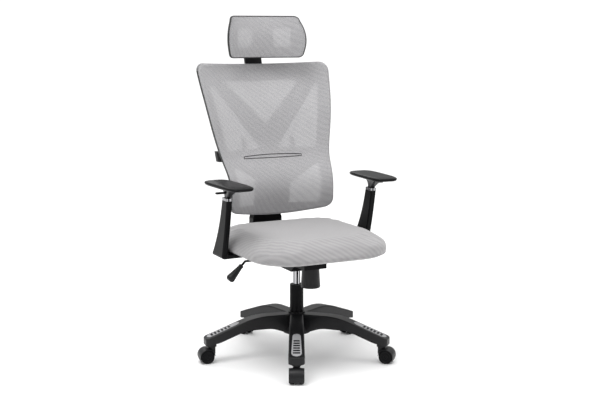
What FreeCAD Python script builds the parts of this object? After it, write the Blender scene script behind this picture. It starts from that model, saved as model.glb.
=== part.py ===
import FreeCAD, Part
import math
import os
import re

import Sketcher

# Mesh-backed swivel chair with a headrest, in millimetres.
# +Z is up, the origin is the lift column's axis at floor level, and the chair faces -Y.
# The occupant's right hand is on the -X side.

Vector = FreeCAD.Vector

SIZES = [
    # Fits and clearances
    ("running_fit", 0.05, "radial gap between a shaft and the hole it turns or slides in"),
    ("press_fit", 0.02, "radial gap of a fixed pin in its hole"),
    ("slider_fit", 0.15, "gap on each side of a flat slider"),
    ("soft_gap", 0.3, "gap between a soft part and what carries it"),
    ("bolt_fit", 0.2, "radial gap of a bolt in a clamped plate"),
    # Gas lift
    ("tube_radius", 25, "outer tube"),
    ("tube_wall", 2, "outer tube wall"),
    ("tube_floor", 4, "bottom plate of the outer tube"),
    ("tube_bottom", 72, "height of the outer tube's lower end"),
    ("tube_top", 262, "height of the outer tube's upper end"),
    ("bush_length", 90, "guide bush inside the outer tube"),
    ("bush_flange", 2.5, "visible collar of the guide bush"),
    ("column_radius", 14, "inner column"),
    ("column_wall", 2, "inner column wall"),
    ("column_bottom", 146, "lower end of the inner column"),
    ("column_top", 362, "upper end of the inner column"),
    ("column_cap", 10, "thickness of the inner column's top"),
    ("column_foot", 4, "thickness of the inner column's bottom"),
    ("rod_radius", 5, "piston rod"),
    ("rod_end", 8, "rod length below the outer tube"),
    ("rod_groove", 1, "depth of the clip groove"),
    ("piston_top", 250, "height of the piston's upper face"),
    ("piston_height", 8, "piston thickness"),
    ("shoulder_radius", 9, "rod shoulder on the thrust bearing"),
    ("shoulder_height", 3, "rod shoulder thickness"),
    ("bearing_radius", 15, "thrust bearing"),
    ("bearing_height", 10, "thrust bearing"),
    ("washer_radius", 11, "washer under the outer tube"),
    ("clip_radius", 8, "spring clip under the washer"),
    ("washer_height", 2, "thickness of the washer, and of the clip"),
    ("button_radius", 4, "release button"),
    ("button_top", 372.7, "height of the release button's top"),
    ("button_length", 28, "release button"),
    # Star base
    ("front_leg_yaw", -116.3, "direction of the leg that points forward, in degrees"),
    ("leg_spacing", 72, "angle between legs"),
    ("hub_radius", 31, "hub at its top"),
    ("hub_skirt_radius", 50, "hub at its foot"),
    ("hub_bottom", 86, "height of the hub's foot"),
    ("hub_top", 163, "height of the hub's top"),
    ("hub_lip", 12, "height of the straight rim at the hub's foot and top"),
    ("leg_top", 157.5, "leg's top surface at the hub"),
    ("leg_bend_reach", 163, "distance at which the top surface turns down"),
    ("leg_slope", 20.2, "downward slope of the outer top surface, in degrees"),
    ("leg_end_reach", 346, "end of a leg"),
    ("leg_end_bottom", 66, "underside at the end of a leg"),
    ("leg_root_bottom", 88, "underside at the hub"),
    ("leg_foot_rise", 8, "how much higher the underside is where it levels out"),
    ("arch_spring", 4, "rise of the underside half way to the arch"),
    ("arch_reach_in", 100, "inner end of the underside arch"),
    ("arch_reach_out", 198, "outer end of the underside arch"),
    ("arch_height", 110, "top of the underside arch"),
    ("leg_foot_reach", 296, "where the underside levels out"),
    ("leg_root_half_width", 23, "half width of a leg at the hub"),
    ("leg_end_half_width", 28.5, "half width of a leg at its end"),
    ("leg_bend_radius", 280, "rounding of the top bend"),
    ("leg_arch_radius", 110, "rounding of the underside"),
    ("leg_corner_radius", 13, "rounding of the end corners"),
    ("leg_edge_radius", 5, "rounding of the top edges"),
    ("insert_start", 218, "inner end of a tread insert along the leg"),
    ("insert_end", 337, "outer end of a tread insert"),
    ("insert_inner_half_width", 14.5, "half width at the inner end"),
    ("insert_outer_half_width", 18, "half width at the outer end"),
    ("insert_thickness", 2.4, "tread insert"),
    ("insert_depth", 1.6, "depth of the insert's recess"),
    ("slot_count", 6, "slots in a tread insert"),
    ("slot_first", 36, "first slot's distance from the insert's inner end"),
    ("slot_pitch", 13.5, "distance between slots"),
    ("slot_width", 8, "slot across"),
    ("slot_edge", 5, "rim beside the slots"),
    # Casters
    ("caster_reach", 320, "distance of a caster's stem from the column"),
    ("stem_radius", 5.5, "caster stem"),
    ("stem_bottom", 44, "lower end of a caster stem"),
    ("stem_top", 84, "upper end of a caster stem"),
    ("stem_boss_radius", 17, "boss under the leg's end"),
    ("stem_boss_bottom", 58, "height of that boss's lower face"),
    ("caster_trail", 20, "distance from the stem to the axle"),
    ("axle_height", 25, "height of the wheel axle"),
    ("axle_radius", 3, "wheel axle"),
    ("axle_half_length", 21, "wheel axle"),
    ("wheel_radius", 25, "caster wheel"),
    ("wheel_inner_face", 8.3, "distance of a wheel's inner face from the middle"),
    ("wheel_outer_face", 25.2, "distance of a wheel's outer face from the middle"),
    ("wheel_edge_radius", 4, "rounding of a wheel's tread"),
    ("wheel_dish", 2.5, "depth of the dished outer face"),
    ("wheel_rim", 5, "width of the rim around the dish"),
    ("web_half_width", 7.9, "middle web of the caster housing"),
    ("hood_clearance", 1.2, "gap between a wheel and its hood"),
    ("hood_radius", 29, "hood at its middle"),
    ("hood_edge_radius", 27.6, "hood at its sides"),
    ("hood_half_width", 26.4, "hood"),
    ("hood_front_angle", 32, "how far the hood wraps below the axle, in degrees"),
    ("hood_rear_angle", 172, "how far the hood wraps the other way"),
    ("caster_boss_radius", 13, "stem boss of the caster housing"),
    ("caster_boss_top", 57.7, "top of the caster housing"),
    ("caster_boss_bottom", 32, "foot of the stem boss"),
    # Tilt mechanism
    ("mech_half_width", 44, "mechanism housing"),
    ("mech_wall", 3, "mechanism housing sheet"),
    ("mech_front", -150, "front of the housing"),
    ("mech_rear", 80, "rear of the housing"),
    ("mech_floor", 322, "underside around the column"),
    ("mech_front_floor", 347, "underside at the front"),
    ("mech_step_rear", -45, "rear end of the step in the underside"),
    ("mech_step_front", -66, "front end of the step"),
    ("mech_top", 384, "top edge of the side walls"),
    ("mech_rear_top", 362, "top edge at the rear"),
    ("mech_slope_start", -20, "where the top edge starts to fall"),
    ("mech_stop_rear", -126, "rear face of the front stop"),
    ("socket_wall", 4.5, "wall of the column socket"),
    ("socket_top", 358, "top of the column socket"),
    ("tilt_axis_y", -50, "tilt axle"),
    ("tilt_axis_z", 366, "tilt axle"),
    ("tilt_axle_radius", 5, "tilt axle"),
    ("ear_inner_face", 47.5, "inner face of the tilt plate's ears"),
    ("ear_thickness", 3, "ears of the tilt plate"),
    ("ear_half_width", 9.5, "ears of the tilt plate"),
    ("pan_bottom", 395, "underside of the seat pan"),
    ("plate_thickness", 4, "bolted plates under the seat pan"),
    ("tilt_plate_half_width", 61, "tilt plate"),
    ("tilt_plate_front", -165, "tilt plate"),
    ("tilt_plate_rear", 108, "tilt plate"),
    # Tension knob
    ("knob_axis_y", -112, "tension knob"),
    ("knob_bottom", 276, "tension knob"),
    ("knob_top", 345, "tension knob"),
    ("knob_bottom_radius", 35, "tension knob"),
    ("knob_top_radius", 31, "tension knob"),
    ("knob_bore_radius", 22.5, "space for the spring"),
    ("knob_floor", 5, "tension knob"),
    ("knob_hub_radius", 9, "hub around the bolt"),
    ("knob_hub_height", 11, "hub around the bolt"),
    ("knob_rounding", 4, "rounding of the knob's lower edge"),
    ("flute_count", 14, "grip flutes"),
    ("flute_radius", 3.2, "grip flutes"),
    ("bolt_end_gap", 0.5, "gap under the tension bolt"),
    ("tension_bolt_radius", 5, "tension bolt"),
    ("tension_head_radius", 9, "tension bolt's hexagon head"),
    ("tension_head_height", 7, "tension bolt's hexagon head"),
    ("nut_bottom", 300, "tension nut"),
    ("nut_height", 8, "tension nut"),
    ("spring_radius", 15, "tension spring, to the wire's middle"),
    ("spring_wire", 2.5, "radius of the spring wire"),
    ("spring_turns", 4, "turns of the tension spring"),
    # Height lever
    ("lever_y", -28, "height lever"),
    ("lever_pivot_x", -37, "pivot of the lever inside its bush"),
    ("lever_z", 374, "lever at its pivot"),
    ("lever_radius", 4, "lever rod"),
    ("lever_bend_x", -216, "where the rod turns down"),
    ("lever_end_x", -238, "end of the rod inside the grip"),
    ("lever_end_z", 352, "end of the rod inside the grip"),
    ("paddle_front", -32, "paddle over the release button"),
    ("paddle_rear", 6, "paddle over the release button"),
    ("paddle_half_length", 10, "paddle over the release button"),
    ("paddle_thickness", 4, "paddle over the release button"),
    ("lever_bush_radius", 8, "lever bush"),
    ("lever_bush_length", 18.3, "lever bush inside the wall"),
    ("lever_flange_radius", 10.5, "flange of the lever bush"),
    ("lever_flange", 3, "flange of the lever bush"),
    ("lever_swing", 0.09, "widening of the bush's bore per millimetre"),
    ("grip_length", 58, "lever grip beyond the end of the rod"),
    ("grip_overlap", 12, "length of rod inside the grip"),
    ("grip_rib_count", 6, "ring grooves of the grip"),
    ("grip_rib_pitch", 7, "distance between the ring grooves"),
    ("grip_start_radius", 9, "grip at the rod"),
    ("grip_end_radius", 15.5, "grip near its end"),
    ("grip_rib", 0.9, "depth of the grip's ring grooves"),
    # Seat
    ("pan_thickness", 8, "seat pan"),
    ("pan_half_width", 215, "seat pan"),
    ("pan_front", -250, "seat pan"),
    ("pan_rear", 178, "seat pan"),
    ("pan_corner", 90, "seat pan's corner radius"),
    ("cushion_front_corner", 140, "front corner radius of the cushion"),
    ("cushion_rear_corner", 100, "rear corner radius of the cushion"),
    ("cushion_half_width", 262, "cushion at its widest"),
    ("cushion_front", -306, "cushion's front"),
    ("cushion_rear", 214, "cushion's rear"),
    ("cushion_wide_height", 37, "height of the widest line above the pan's underside"),
    ("cushion_height", 72, "height of the crown above the pan's underside"),
    ("cushion_under_inset", 21, "inset of the underside from the widest line"),
    ("cushion_shoulder_inset", 10, "inset of the shoulder"),
    ("cushion_shoulder_height", 56, "height of the shoulder"),
    ("cushion_crown_inset", 52, "inset of the crown"),
    # Bolts
    ("bolt_radius", 4, "clamping bolts"),
    ("bolt_grip", 7.5, "bolt length beyond its plate"),
    ("bolt_head_radius", 7.5, "hexagon head, across corners"),
    ("bolt_head_height", 5, "hexagon head"),
    ("counterbore_radius", 9, "recess for a bolt head"),
    ("plate_bolt_x", 52, "tilt plate bolts"),
    ("plate_bolt_front", -140, "tilt plate bolts"),
    ("plate_bolt_rear", 90, "tilt plate bolts"),
    ("arm_bolt_inner_x", 125, "arm bracket's inner bolts"),
    ("arm_bolt_outer_x", 180, "arm bracket's outer bolt"),
    ("arm_bolt_spread", 15, "arm bracket's inner bolts, from the middle"),
    ("bracket_bolt_x", 40, "back bracket's bolts"),
    ("bracket_bolt_front", 122, "back bracket's front bolts"),
    ("bracket_bolt_rear", 148, "back bracket's rear bolts"),
    # Arms
    ("arm_x", 286, "middle of an arm post"),
    ("arm_top_y", -37, "top of the arm sleeve"),
    ("arm_top_z", 597, "top of the arm sleeve"),
    ("arm_lean", 16.6, "forward lean of the arm post, in degrees"),
    ("sleeve_depth", 47, "sleeve at its top, front to back"),
    ("sleeve_thickness", 21, "sleeve, side to side"),
    ("sleeve_mid_front", -32, "sleeve's front edge half way down"),
    ("sleeve_mid_rear", 37, "sleeve's rear edge half way down"),
    ("sleeve_mid_z", 466, "that height"),
    ("elbow_front", -8, "front of the elbow"),
    ("elbow_rear", 82, "rear of the elbow"),
    ("arm_bar_thickness", 12, "bar under the seat"),
    ("arm_bar_inner_x", 100, "inner end of the bar"),
    ("arm_bar_taper", 8, "narrowing of the bar towards its inner end"),
    ("elbow_radius", 11, "rounding of the outer lower corner"),
    ("sleeve_edge_radius", 5, "rounding of the sleeve's upright edges"),
    ("slider_depth", 30, "inner post, front to back"),
    ("slider_thickness", 10, "inner post, side to side"),
    ("slider_length", 135, "inner post inside its sleeve"),
    ("channel_extra", 12, "channel depth beyond the inner post"),
    ("collar_height", 9, "chrome collar"),
    ("collar_depth", 50, "chrome collar, front to back"),
    ("collar_thickness", 23, "chrome collar, side to side"),
    ("collar_corner", 9, "corner radius of the collar"),
    ("neck_top", 22, "where the neck starts to flare"),
    ("neck_thickness", 16, "neck above the collar"),
    ("neck_flare_rise", 3, "height of the flare's middle section above the neck"),
    ("neck_flare_side", 1.5, "how much wider that section is on each side"),
    ("neck_flare_end", 6, "how much longer that section is at each end"),
    ("support_half_length", 58, "flared support under the pad"),
    ("support_half_width", 24, "flared support under the pad"),
    ("support_corner", 6, "corner radius of that support"),
    ("pad_bottom", 643, "underside of the arm pad"),
    ("pad_thickness", 17, "arm pad"),
    ("pad_middle_y", -51, "arm pad"),
    ("pad_half_length", 127, "arm pad"),
    ("pad_half_width", 49, "arm pad"),
    ("pad_corner", 34, "corner radius of the arm pad"),
    ("pad_edge_radius", 7, "arm pad's top edge"),
    ("pad_toe_in", 3, "turn of an arm pad's front towards the middle, in degrees"),
    ("release_z", 30, "release lever, along the arm post"),
    ("release_length", 44, "release lever"),
    ("release_half_width", 6, "release lever"),
    ("release_thickness", 3, "release lever"),
    ("release_slot_height", 10, "slot for the release lever"),
    ("release_depth", 3, "how far the lever reaches past the post's middle"),
    # Back: heights, half widths and the depth of the side edge
    ("back_z_1", 480, "first section of the back"),
    ("back_z_2", 551, "second section"),
    ("back_z_3", 626, "third section"),
    ("back_z_4", 708, "fourth section, at the lumbar line"),
    ("back_z_5", 800, "fifth section"),
    ("back_z_6", 935, "sixth section"),
    ("back_z_7", 1080, "last section"),
    ("back_w_1", 204, "half width"),
    ("back_w_2", 208, "half width"),
    ("back_w_3", 207.5, "half width"),
    ("back_w_4", 218, "half width"),
    ("back_w_5", 237, "half width"),
    ("back_w_6", 259, "half width"),
    ("back_w_7", 275, "half width"),
    ("back_y_1", 120, "side edge"),
    ("back_y_2", 107, "side edge"),
    ("back_y_3", 108, "side edge"),
    ("back_y_4", 157, "side edge"),
    ("back_y_5", 190, "side edge"),
    ("back_y_6", 230.5, "side edge"),
    ("back_y_7", 279, "side edge"),
    ("back_sag", 55, "how much deeper the middle of the back lies than its sides"),
    ("back_top", 1052, "top edge at its middle"),
    ("back_top_corner_z", 1058, "top edge at its corners"),
    ("back_bottom", 496, "bottom edge at its middle"),
    ("back_bottom_corner_z", 515, "bottom edge at its corners"),
    ("back_top_corner", 30, "top corner radius"),
    ("back_bottom_corner", 34, "bottom corner size"),
    ("mesh_thickness", 2.5, "back mesh"),
    ("back_frame_thickness", 14, "back frame"),
    ("rail_width", 39, "side rails of the back frame"),
    ("top_band", 62, "top band of the back frame"),
    ("bottom_band", 40, "bottom band of the back frame"),
    ("vee_top_half_width", 158, "top of the middle window"),
    ("vee_bottom_z", 827, "bottom of the middle window"),
    ("lumbar_band_z", 738, "bottom of the side windows"),
    ("side_window_top_z", 985, "top of the side windows"),
    ("side_window_inner_x", 32, "inner corner of the side windows"),
    ("low_window_top_z", 688, "outer top corner of the lower windows"),
    ("low_window_inner_top_z", 612, "inner top corner of the lower windows"),
    ("low_window_inner_x", 50, "inner edge of the lower windows"),
    ("window_corner", 7, "corner radius of the windows"),
    # Back bracket
    ("bracket_half_width", 60, "back bracket under the back"),
    ("bracket_neck_half_width", 42, "back bracket behind the frame"),
    ("bracket_neck_start", 470, "where the bracket starts to narrow"),
    ("bracket_neck_end", 520, "where it has narrowed"),
    ("bracket_front", 110, "front end under the seat"),
    ("bracket_thick_start", 166, "where the bracket gets thicker"),
    ("bracket_thick_end", 200, "where it reaches its full thickness"),
    ("bracket_drop", 19, "thickness of the bracket at its bend"),
    ("bracket_rise_y", 252, "front face where it rises"),
    ("bracket_rise_z", 480, "height of that point"),
    ("bracket_top_y", 226, "front face at the top"),
    ("bracket_top_z", 696, "top of the bracket"),
    ("bracket_thickness", 38, "upright part"),
    ("bracket_bend_radius", 24, "rounding of the bend"),
    ("spine_block_z", 632, "lower end of the frame's mounting block"),
    ("spine_bolt_low", 652, "lower bolts of the mounting block"),
    ("spine_bolt_high", 682, "upper bolts of the mounting block"),
    ("spine_bolt_x", 24, "bolts of the mounting block"),
    # Lumbar support
    ("lumbar_z", 702, "lower edge of the lumbar band"),
    ("lumbar_height", 36, "lumbar band"),
    ("lumbar_slope", 23.7, "slope of its travel from the vertical, in degrees"),
    ("lumbar_clear", 4, "least gap between the band and the frame"),
    ("lumbar_grip_radius", 9, "corner radius of its grips"),
    ("lumbar_grip_overlap", 6, "overlap of a grip and the band"),
    ("lumbar_thickness", 5, "lumbar band"),
    ("lumbar_half_width", 204, "lumbar band"),
    ("lumbar_grip_outer", 224, "outer face of its grips"),
    ("lumbar_grip_depth", 34, "its grips, front to back"),
    ("lumbar_travel", 28, "travel of the lumbar support"),
    ("guide_x", 100, "guide rails on the frame"),
    ("guide_half_width", 8, "guide rails on the frame"),
    ("guide_depth", 9, "guide rails on the frame"),
    ("guide_overrun", 12, "length of a guide rail beyond the band's travel, at each end"),
    # Headrest
    ("post_y", 379, "headrest post where it passes the back's top"),
    ("post_z", 1057, "that height"),
    ("post_lean", 17.3, "backward lean of the post, in degrees"),
    ("post_half_width", 34, "headrest post"),
    ("post_thickness", 12, "headrest post"),
    ("post_length", 75, "straight part of the post below that point"),
    ("post_bend_z", 1082, "where the post turns forward"),
    ("post_knuckle_half_width", 19.5, "top of the post"),
    ("post_knuckle_radius", 10, "top of the post"),
    ("sleeve_guide_wall", 5, "post guide on the back frame"),
    ("sleeve_guide_bottom", 992, "post guide"),
    ("sleeve_guide_top", 1044, "post guide"),
    ("pivot_y", 322, "headrest pivot"),
    ("pivot_z", 1148, "headrest pivot"),
    ("pivot_radius", 4, "headrest pin"),
    ("lug_thickness", 8, "lugs of the headrest frame"),
    ("lug_gap", 0.5, "gap between a lug and the post"),
    ("head_z_1", 1060, "first section of the headrest"),
    ("head_z_2", 1152, "second section"),
    ("head_z_3", 1245, "last section"),
    ("head_w_1", 147, "half width"),
    ("head_w_2", 158, "half width"),
    ("head_w_3", 131, "half width"),
    ("head_y_1", 249, "side edge"),
    ("head_y_2", 239, "side edge"),
    ("head_y_3", 273, "side edge"),
    ("head_sag", 45, "how much deeper the middle of the headrest lies"),
    ("head_bottom", 1077, "bottom edge"),
    ("head_top", 1230, "top edge"),
    ("head_corner", 18, "corner radius"),
    ("head_mesh_thickness", 2, "headrest mesh"),
    ("head_frame_thickness", 10, "headrest frame"),
    ("head_window_inner", 42, "windows of the headrest frame"),
    ("head_window_outer", 110, "windows of the headrest frame"),
    ("head_window_bottom", 1116, "windows of the headrest frame"),
    ("head_window_top", 1184, "windows of the headrest frame"),
]

VALUES = {name: value for name, value, meaning in SIZES}

document = FreeCAD.newDocument("mesh_chair")
sheet = document.addObject("Spreadsheet::Sheet", "sizes")
for row, (alias, value, meaning) in enumerate(SIZES, start=1):
    sheet.set(f"A{row}", alias)
    sheet.set(f"B{row}", str(value))
    sheet.setAlias(f"B{row}", alias)
    sheet.set(f"C{row}", meaning)
document.recompute()

nodes = []


# ---------------------------------------------------------------- helpers

def linked(formula):
    """Return a formula in which each size name points at its cell in the sheet."""
    def cell(match):
        word = match.group(0)
        return f"sizes.{word}" if word in VALUES else word
    return re.sub(r"[a-z][a-z_0-9]*", cell, str(formula))


def number(formula):
    """Return a formula's value."""
    result = sheet.evalExpression(linked(formula))
    return float(getattr(result, "Value", result))


def place(item, position=("0", "0", "0"), axis=(0, 0, 1), angle="0", target="Placement"):
    """Bind an item's placement to formulas for its position and its turn about an axis."""
    point = "; ".join(linked(part) for part in position)
    turn = f"rotation(vector({axis[0]}; {axis[1]}; {axis[2]}); {linked(angle)})"
    item.setExpression(target, f"placement(vector({point}); {turn})")


def keep(item, label):
    """Give a finished sub-part its label and add it to the list of nodes."""
    item.Label = label
    nodes.append(item)
    return item


def primitive(kind, name, **sizes):
    """Add a Part primitive with each named property bound to a formula."""
    item = document.addObject(f"Part::{kind}", name)
    for prop, formula in sizes.items():
        item.setExpression(prop, linked(formula))
    return item


def compound(label, parts):
    """Make one node of several separate solids."""
    item = document.addObject("Part::Compound", label)
    item.Links = parts
    return keep(item, label)


def new_body(label):
    return document.addObject("PartDesign::Body", label)


def origin_feature(body, role):
    return next(item for item in body.Origin.OriginFeatures if item.Role == role)


def new_sketch(body, plane, offset=("0", "0", "0"), axis=(1, 0, 0), angle="0"):
    """Add a sketch on one of the body's origin planes, moved and turned by formulas."""
    item = body.newObject("Sketcher::SketchObject", body.Name + "_sketch")
    item.AttachmentSupport = [(origin_feature(body, plane), "")]
    item.MapMode = "FlatFace"
    place(item, offset, axis, angle, target="AttachmentOffset")
    return item


def bind_point(item, geometry, vertex, x, y):
    """Bind a sketch point to formulas for its two coordinates."""
    for kind, formula in (("DistanceX", x), ("DistanceY", y)):
        value = number(formula)
        constraint = Sketcher.Constraint(kind, -1, 1, geometry, vertex, value)
        index = item.addConstraint(constraint)
        item.setExpression(f"Constraints[{index}]", linked(formula))


def outline(item, corners):
    """Close a profile through corners; one that starts with "arc" is an arc's middle."""
    points = [corner for corner in corners if corner[0] != "arc"]
    middles = {}
    count = 0
    for corner in corners:
        if corner[0] == "arc":
            middles[count - 1] = corner[1:]
        else:
            count += 1
    first = item.GeometryCount
    starts, ends = [], []
    places = [Vector(number(x), number(y), 0) for x, y in points]
    for index in range(count):
        start, end = places[index], places[(index + 1) % count]
        if index not in middles:
            item.addGeometry(Part.LineSegment(start, end))
            starts.append(1)
            ends.append(2)
            continue
        middle = Vector(number(middles[index][0]), number(middles[index][1]), 0)
        clockwise = (middle - start).cross(end - middle).z < 0
        if clockwise:
            item.addGeometry(Part.Arc(end, middle, start))
        else:
            item.addGeometry(Part.Arc(start, middle, end))
        starts.append(2 if clockwise else 1)
        ends.append(1 if clockwise else 2)
    for index in range(count):
        after = (index + 1) % count
        joint = Sketcher.Constraint("Coincident", first + index, ends[index],
                                    first + after, starts[after])
        item.addConstraint(joint)
        bind_point(item, first + index, starts[index], *points[index])
    for index, (x, y) in middles.items():
        point = item.addGeometry(Part.Point(Vector(number(x), number(y), 0)), True)
        bind_point(item, point, 1, x, y)
        item.addConstraint(Sketcher.Constraint("PointOnObject", point, 1, first + index))


def circle(item, radius, x="0", y="0"):
    """Add a circle with its centre and radius bound to formulas."""
    centre = Vector(number(x), number(y), 0)
    index = item.addGeometry(Part.Circle(centre, Vector(0, 0, 1), number(radius)))
    bind_point(item, index, 3, x, y)
    bound = item.addConstraint(Sketcher.Constraint("Radius", index, number(radius)))
    item.setExpression(f"Constraints[{bound}]", linked(radius))


def rectangle(item, left, right, low, high):
    outline(item, [(left, low), (right, low), (right, high), (left, high)])


def rounded_rectangle(item, half_width, low, high, low_corner, high_corner):
    """Close a rectangle, symmetric about the sketch's upright axis, with round corners."""
    cut = 1 - math.cos(math.radians(45))
    side = f"({half_width})"
    outline(item, [
        (f"-{side} + {low_corner}", low),
        (f"{side} - {low_corner}", low),
        ("arc", f"{side} - {low_corner} * {cut}", f"{low} + {low_corner} * {cut}"),
        (side, f"{low} + {low_corner}"),
        (side, f"{high} - {high_corner}"),
        ("arc", f"{side} - {high_corner} * {cut}", f"{high} - {high_corner} * {cut}"),
        (f"{side} - {high_corner}", high),
        (f"-{side} + {high_corner}", high),
        ("arc", f"-{side} + {high_corner} * {cut}", f"{high} - {high_corner} * {cut}"),
        (f"-{side}", f"{high} - {high_corner}"),
        (f"-{side}", f"{low} + {low_corner}"),
        ("arc", f"-{side} + {low_corner} * {cut}", f"{low} + {low_corner} * {cut}"),
    ])


def feature(body, kind, profile, **sizes):
    """Add a PartDesign feature; a text value is a formula and any other is set as it is."""
    item = body.newObject(f"PartDesign::{kind}", f"{body.Name}_{kind.lower()}")
    item.Profile = profile
    for prop, value in sizes.items():
        if isinstance(value, str) and prop not in ("Type", "SideType"):
            item.setExpression(prop, linked(value))
        else:
            setattr(item, prop, value)
    return item


def extrude(body, profile, length, cut=False, middle=False, flip=False):
    """Pad or pocket a profile by a length, to one side or half to each side."""
    kind = "Pocket" if cut else "Pad"
    side = "Symmetric" if middle else "One side"
    return feature(body, kind, profile, Length=length, SideType=side, Reversed=flip)


def revolve(body, profile, axis="V_Axis", cut=False, angle="360"):
    """Turn a profile about one of its sketch's own axes."""
    kind = "Groove" if cut else "Revolution"
    return feature(body, kind, profile, ReferenceAxis=(profile, [axis]), Angle=angle)


def edges(item, test):
    """Return the names of the edges that pass a test."""
    document.recompute()
    return [f"Edge{index}" for index, edge in enumerate(item.Shape.Edges, start=1)
            if test(edge)]


def fillet(body, base, radius, test):
    """Round the edges of a feature that pass a test."""
    names = edges(base, test)
    item = body.newObject("PartDesign::Fillet", body.Name + "_fillet")
    item.Base = (base, names)
    item.setExpression("Radius", linked(radius))
    document.recompute()
    return item


def polar(body, originals, count, angle="360", whole=False):
    """Repeat features, or the whole body so far, about the body's upright axis."""
    item = body.newObject("PartDesign::PolarPattern", body.Name + "_pattern")
    if whole:
        item.TransformMode = "Whole shape"
    else:
        item.Originals = originals
    item.Axis = (origin_feature(body, "Z_Axis"), [""])
    item.setExpression("Angle", linked(angle))
    item.setExpression("Occurrences", linked(count))
    body.Tip = item
    document.recompute()
    return item


def turned_body(label, profiles):
    """Make a body by turning closed outlines of (radius, height) about the Z axis."""
    body = new_body(label)
    for corners in profiles:
        profile = new_sketch(body, "XZ_Plane")
        outline(profile, corners)
        revolve(body, profile)
    return body


def upright(edge):
    box = edge.BoundBox
    return box.XLength < 0.01 and box.YLength < 0.01


def across(edge):
    """Tell whether an edge runs along X."""
    box = edge.BoundBox
    return box.YLength < 0.01 and box.ZLength < 0.01


# ---------------------------------------------------------------- star base

def leg_yaw(index):
    return f"front_leg_yaw + leg_spacing * {index}"


LEG_TOP_DROP = "(({0}) - leg_bend_reach) * tan(leg_slope)"


def leg_top_at(reach):
    """Height of the sloping top surface at a distance from the column."""
    return f"(leg_top - {LEG_TOP_DROP.format(reach)})"


INSERT_LENGTH = "((insert_end - insert_start) / cos(leg_slope))"


def insert_profile(item, gap):
    """Outline of a tread insert along the leg, grown by a gap."""
    inner = f"(insert_inner_half_width + {gap})"
    outer = f"(insert_outer_half_width + {gap})"
    start = f"(-{gap})"
    end = f"({INSERT_LENGTH} + {gap})"
    outline(item, [
        (f"{start} + insert_inner_half_width", f"-{inner}"),
        (f"{end} - insert_outer_half_width", f"-{outer}"),
        ("arc", end, "0"),
        (f"{end} - insert_outer_half_width", outer),
        (f"{start} + insert_inner_half_width", inner),
        ("arc", start, "0"),
    ])


def make_star_base():
    body = new_body("star_base")
    side = new_sketch(body, "XZ_Plane")
    outline(side, [
        ("0", "leg_root_bottom"),
        ("arch_reach_in * 0.5", "leg_root_bottom + arch_spring"),
        ("arch_reach_in", "arch_height"),
        ("arch_reach_out", "arch_height"),
        ("leg_foot_reach", "leg_end_bottom + leg_foot_rise"),
        ("leg_end_reach", "leg_end_bottom"),
        ("leg_end_reach", leg_top_at("leg_end_reach")),
        ("leg_bend_reach", "leg_top"),
        ("0", "leg_top"),
    ])
    leg = extrude(body, side, "2 * leg_end_half_width", middle=True)

    def below_arch(edge):
        reach = edge.CenterOfMass.x
        return (edge.BoundBox.XLength < 0.01 and edge.BoundBox.ZLength < 0.01
                and number("arch_reach_in") - 1 < reach < number("leg_foot_reach") + 1
                and edge.CenterOfMass.z < number("arch_height") + 1)

    def top_bend(edge):
        return (edge.BoundBox.XLength < 0.01 and edge.BoundBox.ZLength < 0.01
                and abs(edge.CenterOfMass.x - number("leg_bend_reach")) < 1
                and edge.CenterOfMass.z > number("leg_top") - 1)

    arched = fillet(body, leg, "leg_arch_radius", below_arch)
    fillet(body, arched, "leg_bend_radius", top_bend)

    plan = new_sketch(body, "XY_Plane")
    rectangle(plan, "-leg_end_half_width * 2", "leg_end_reach * 1.5",
              "-leg_end_half_width * 2", "leg_end_half_width * 2")
    outline(plan, [
        ("-leg_end_half_width", "-leg_root_half_width"),
        ("leg_end_reach", "-leg_end_half_width + 0.1"),
        ("leg_end_reach", "leg_end_half_width - 0.1"),
        ("-leg_end_half_width", "leg_root_half_width"),
    ])
    tapered = extrude(body, plan, "leg_top * 2", cut=True, flip=True)

    def end_corner(edge):
        return upright(edge) and edge.CenterOfMass.x > number("leg_end_reach") - 1

    rounded = fillet(body, tapered, "leg_corner_radius", end_corner)

    def top_side(edge):
        box = edge.BoundBox
        middle = edge.CenterOfMass
        over = number("leg_top") - max(0, middle.x - number("leg_bend_reach")) * 0.37
        return box.XLength > 20 and abs(middle.y) > 15 and middle.z > over - 12

    fillet(body, rounded, "leg_edge_radius", top_side)

    recess = new_sketch(body, "XY_Plane",
                        ("insert_start", "0",
                         f"{leg_top_at('insert_start')} - insert_depth * cos(leg_slope)"),
                        (0, 1, 0), "leg_slope")
    insert_profile(recess, "soft_gap")
    extrude(body, recess, "insert_depth * 12", cut=True, flip=True)

    boss = new_sketch(body, "XY_Plane", ("0", "0", "stem_boss_bottom"))
    circle(boss, "stem_boss_radius", "caster_reach")
    extrude(body, boss, "leg_end_bottom - stem_boss_bottom + 6")
    hole = new_sketch(body, "XY_Plane", ("0", "0", "stem_boss_bottom"))
    circle(hole, "stem_radius + press_fit", "caster_reach")
    extrude(body, hole, "stem_top - stem_boss_bottom", cut=True, flip=True)
    document.recompute()
    polar(body, [], "5", whole=True)

    hub = new_sketch(body, "XZ_Plane")
    outline(hub, [
        ("0", "hub_bottom"),
        ("hub_skirt_radius", "hub_bottom"),
        ("hub_skirt_radius", "hub_bottom + hub_lip"),
        ("hub_radius", "leg_top - hub_lip"),
        ("hub_radius", "hub_top"),
        ("0", "hub_top"),
    ])
    revolve(body, hub)
    bore = new_sketch(body, "XY_Plane")
    circle(bore, "tube_radius + press_fit")
    extrude(body, bore, "hub_top * 2", cut=True, flip=True)
    place(body, angle="front_leg_yaw")
    return keep(body, "star_base")


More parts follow.
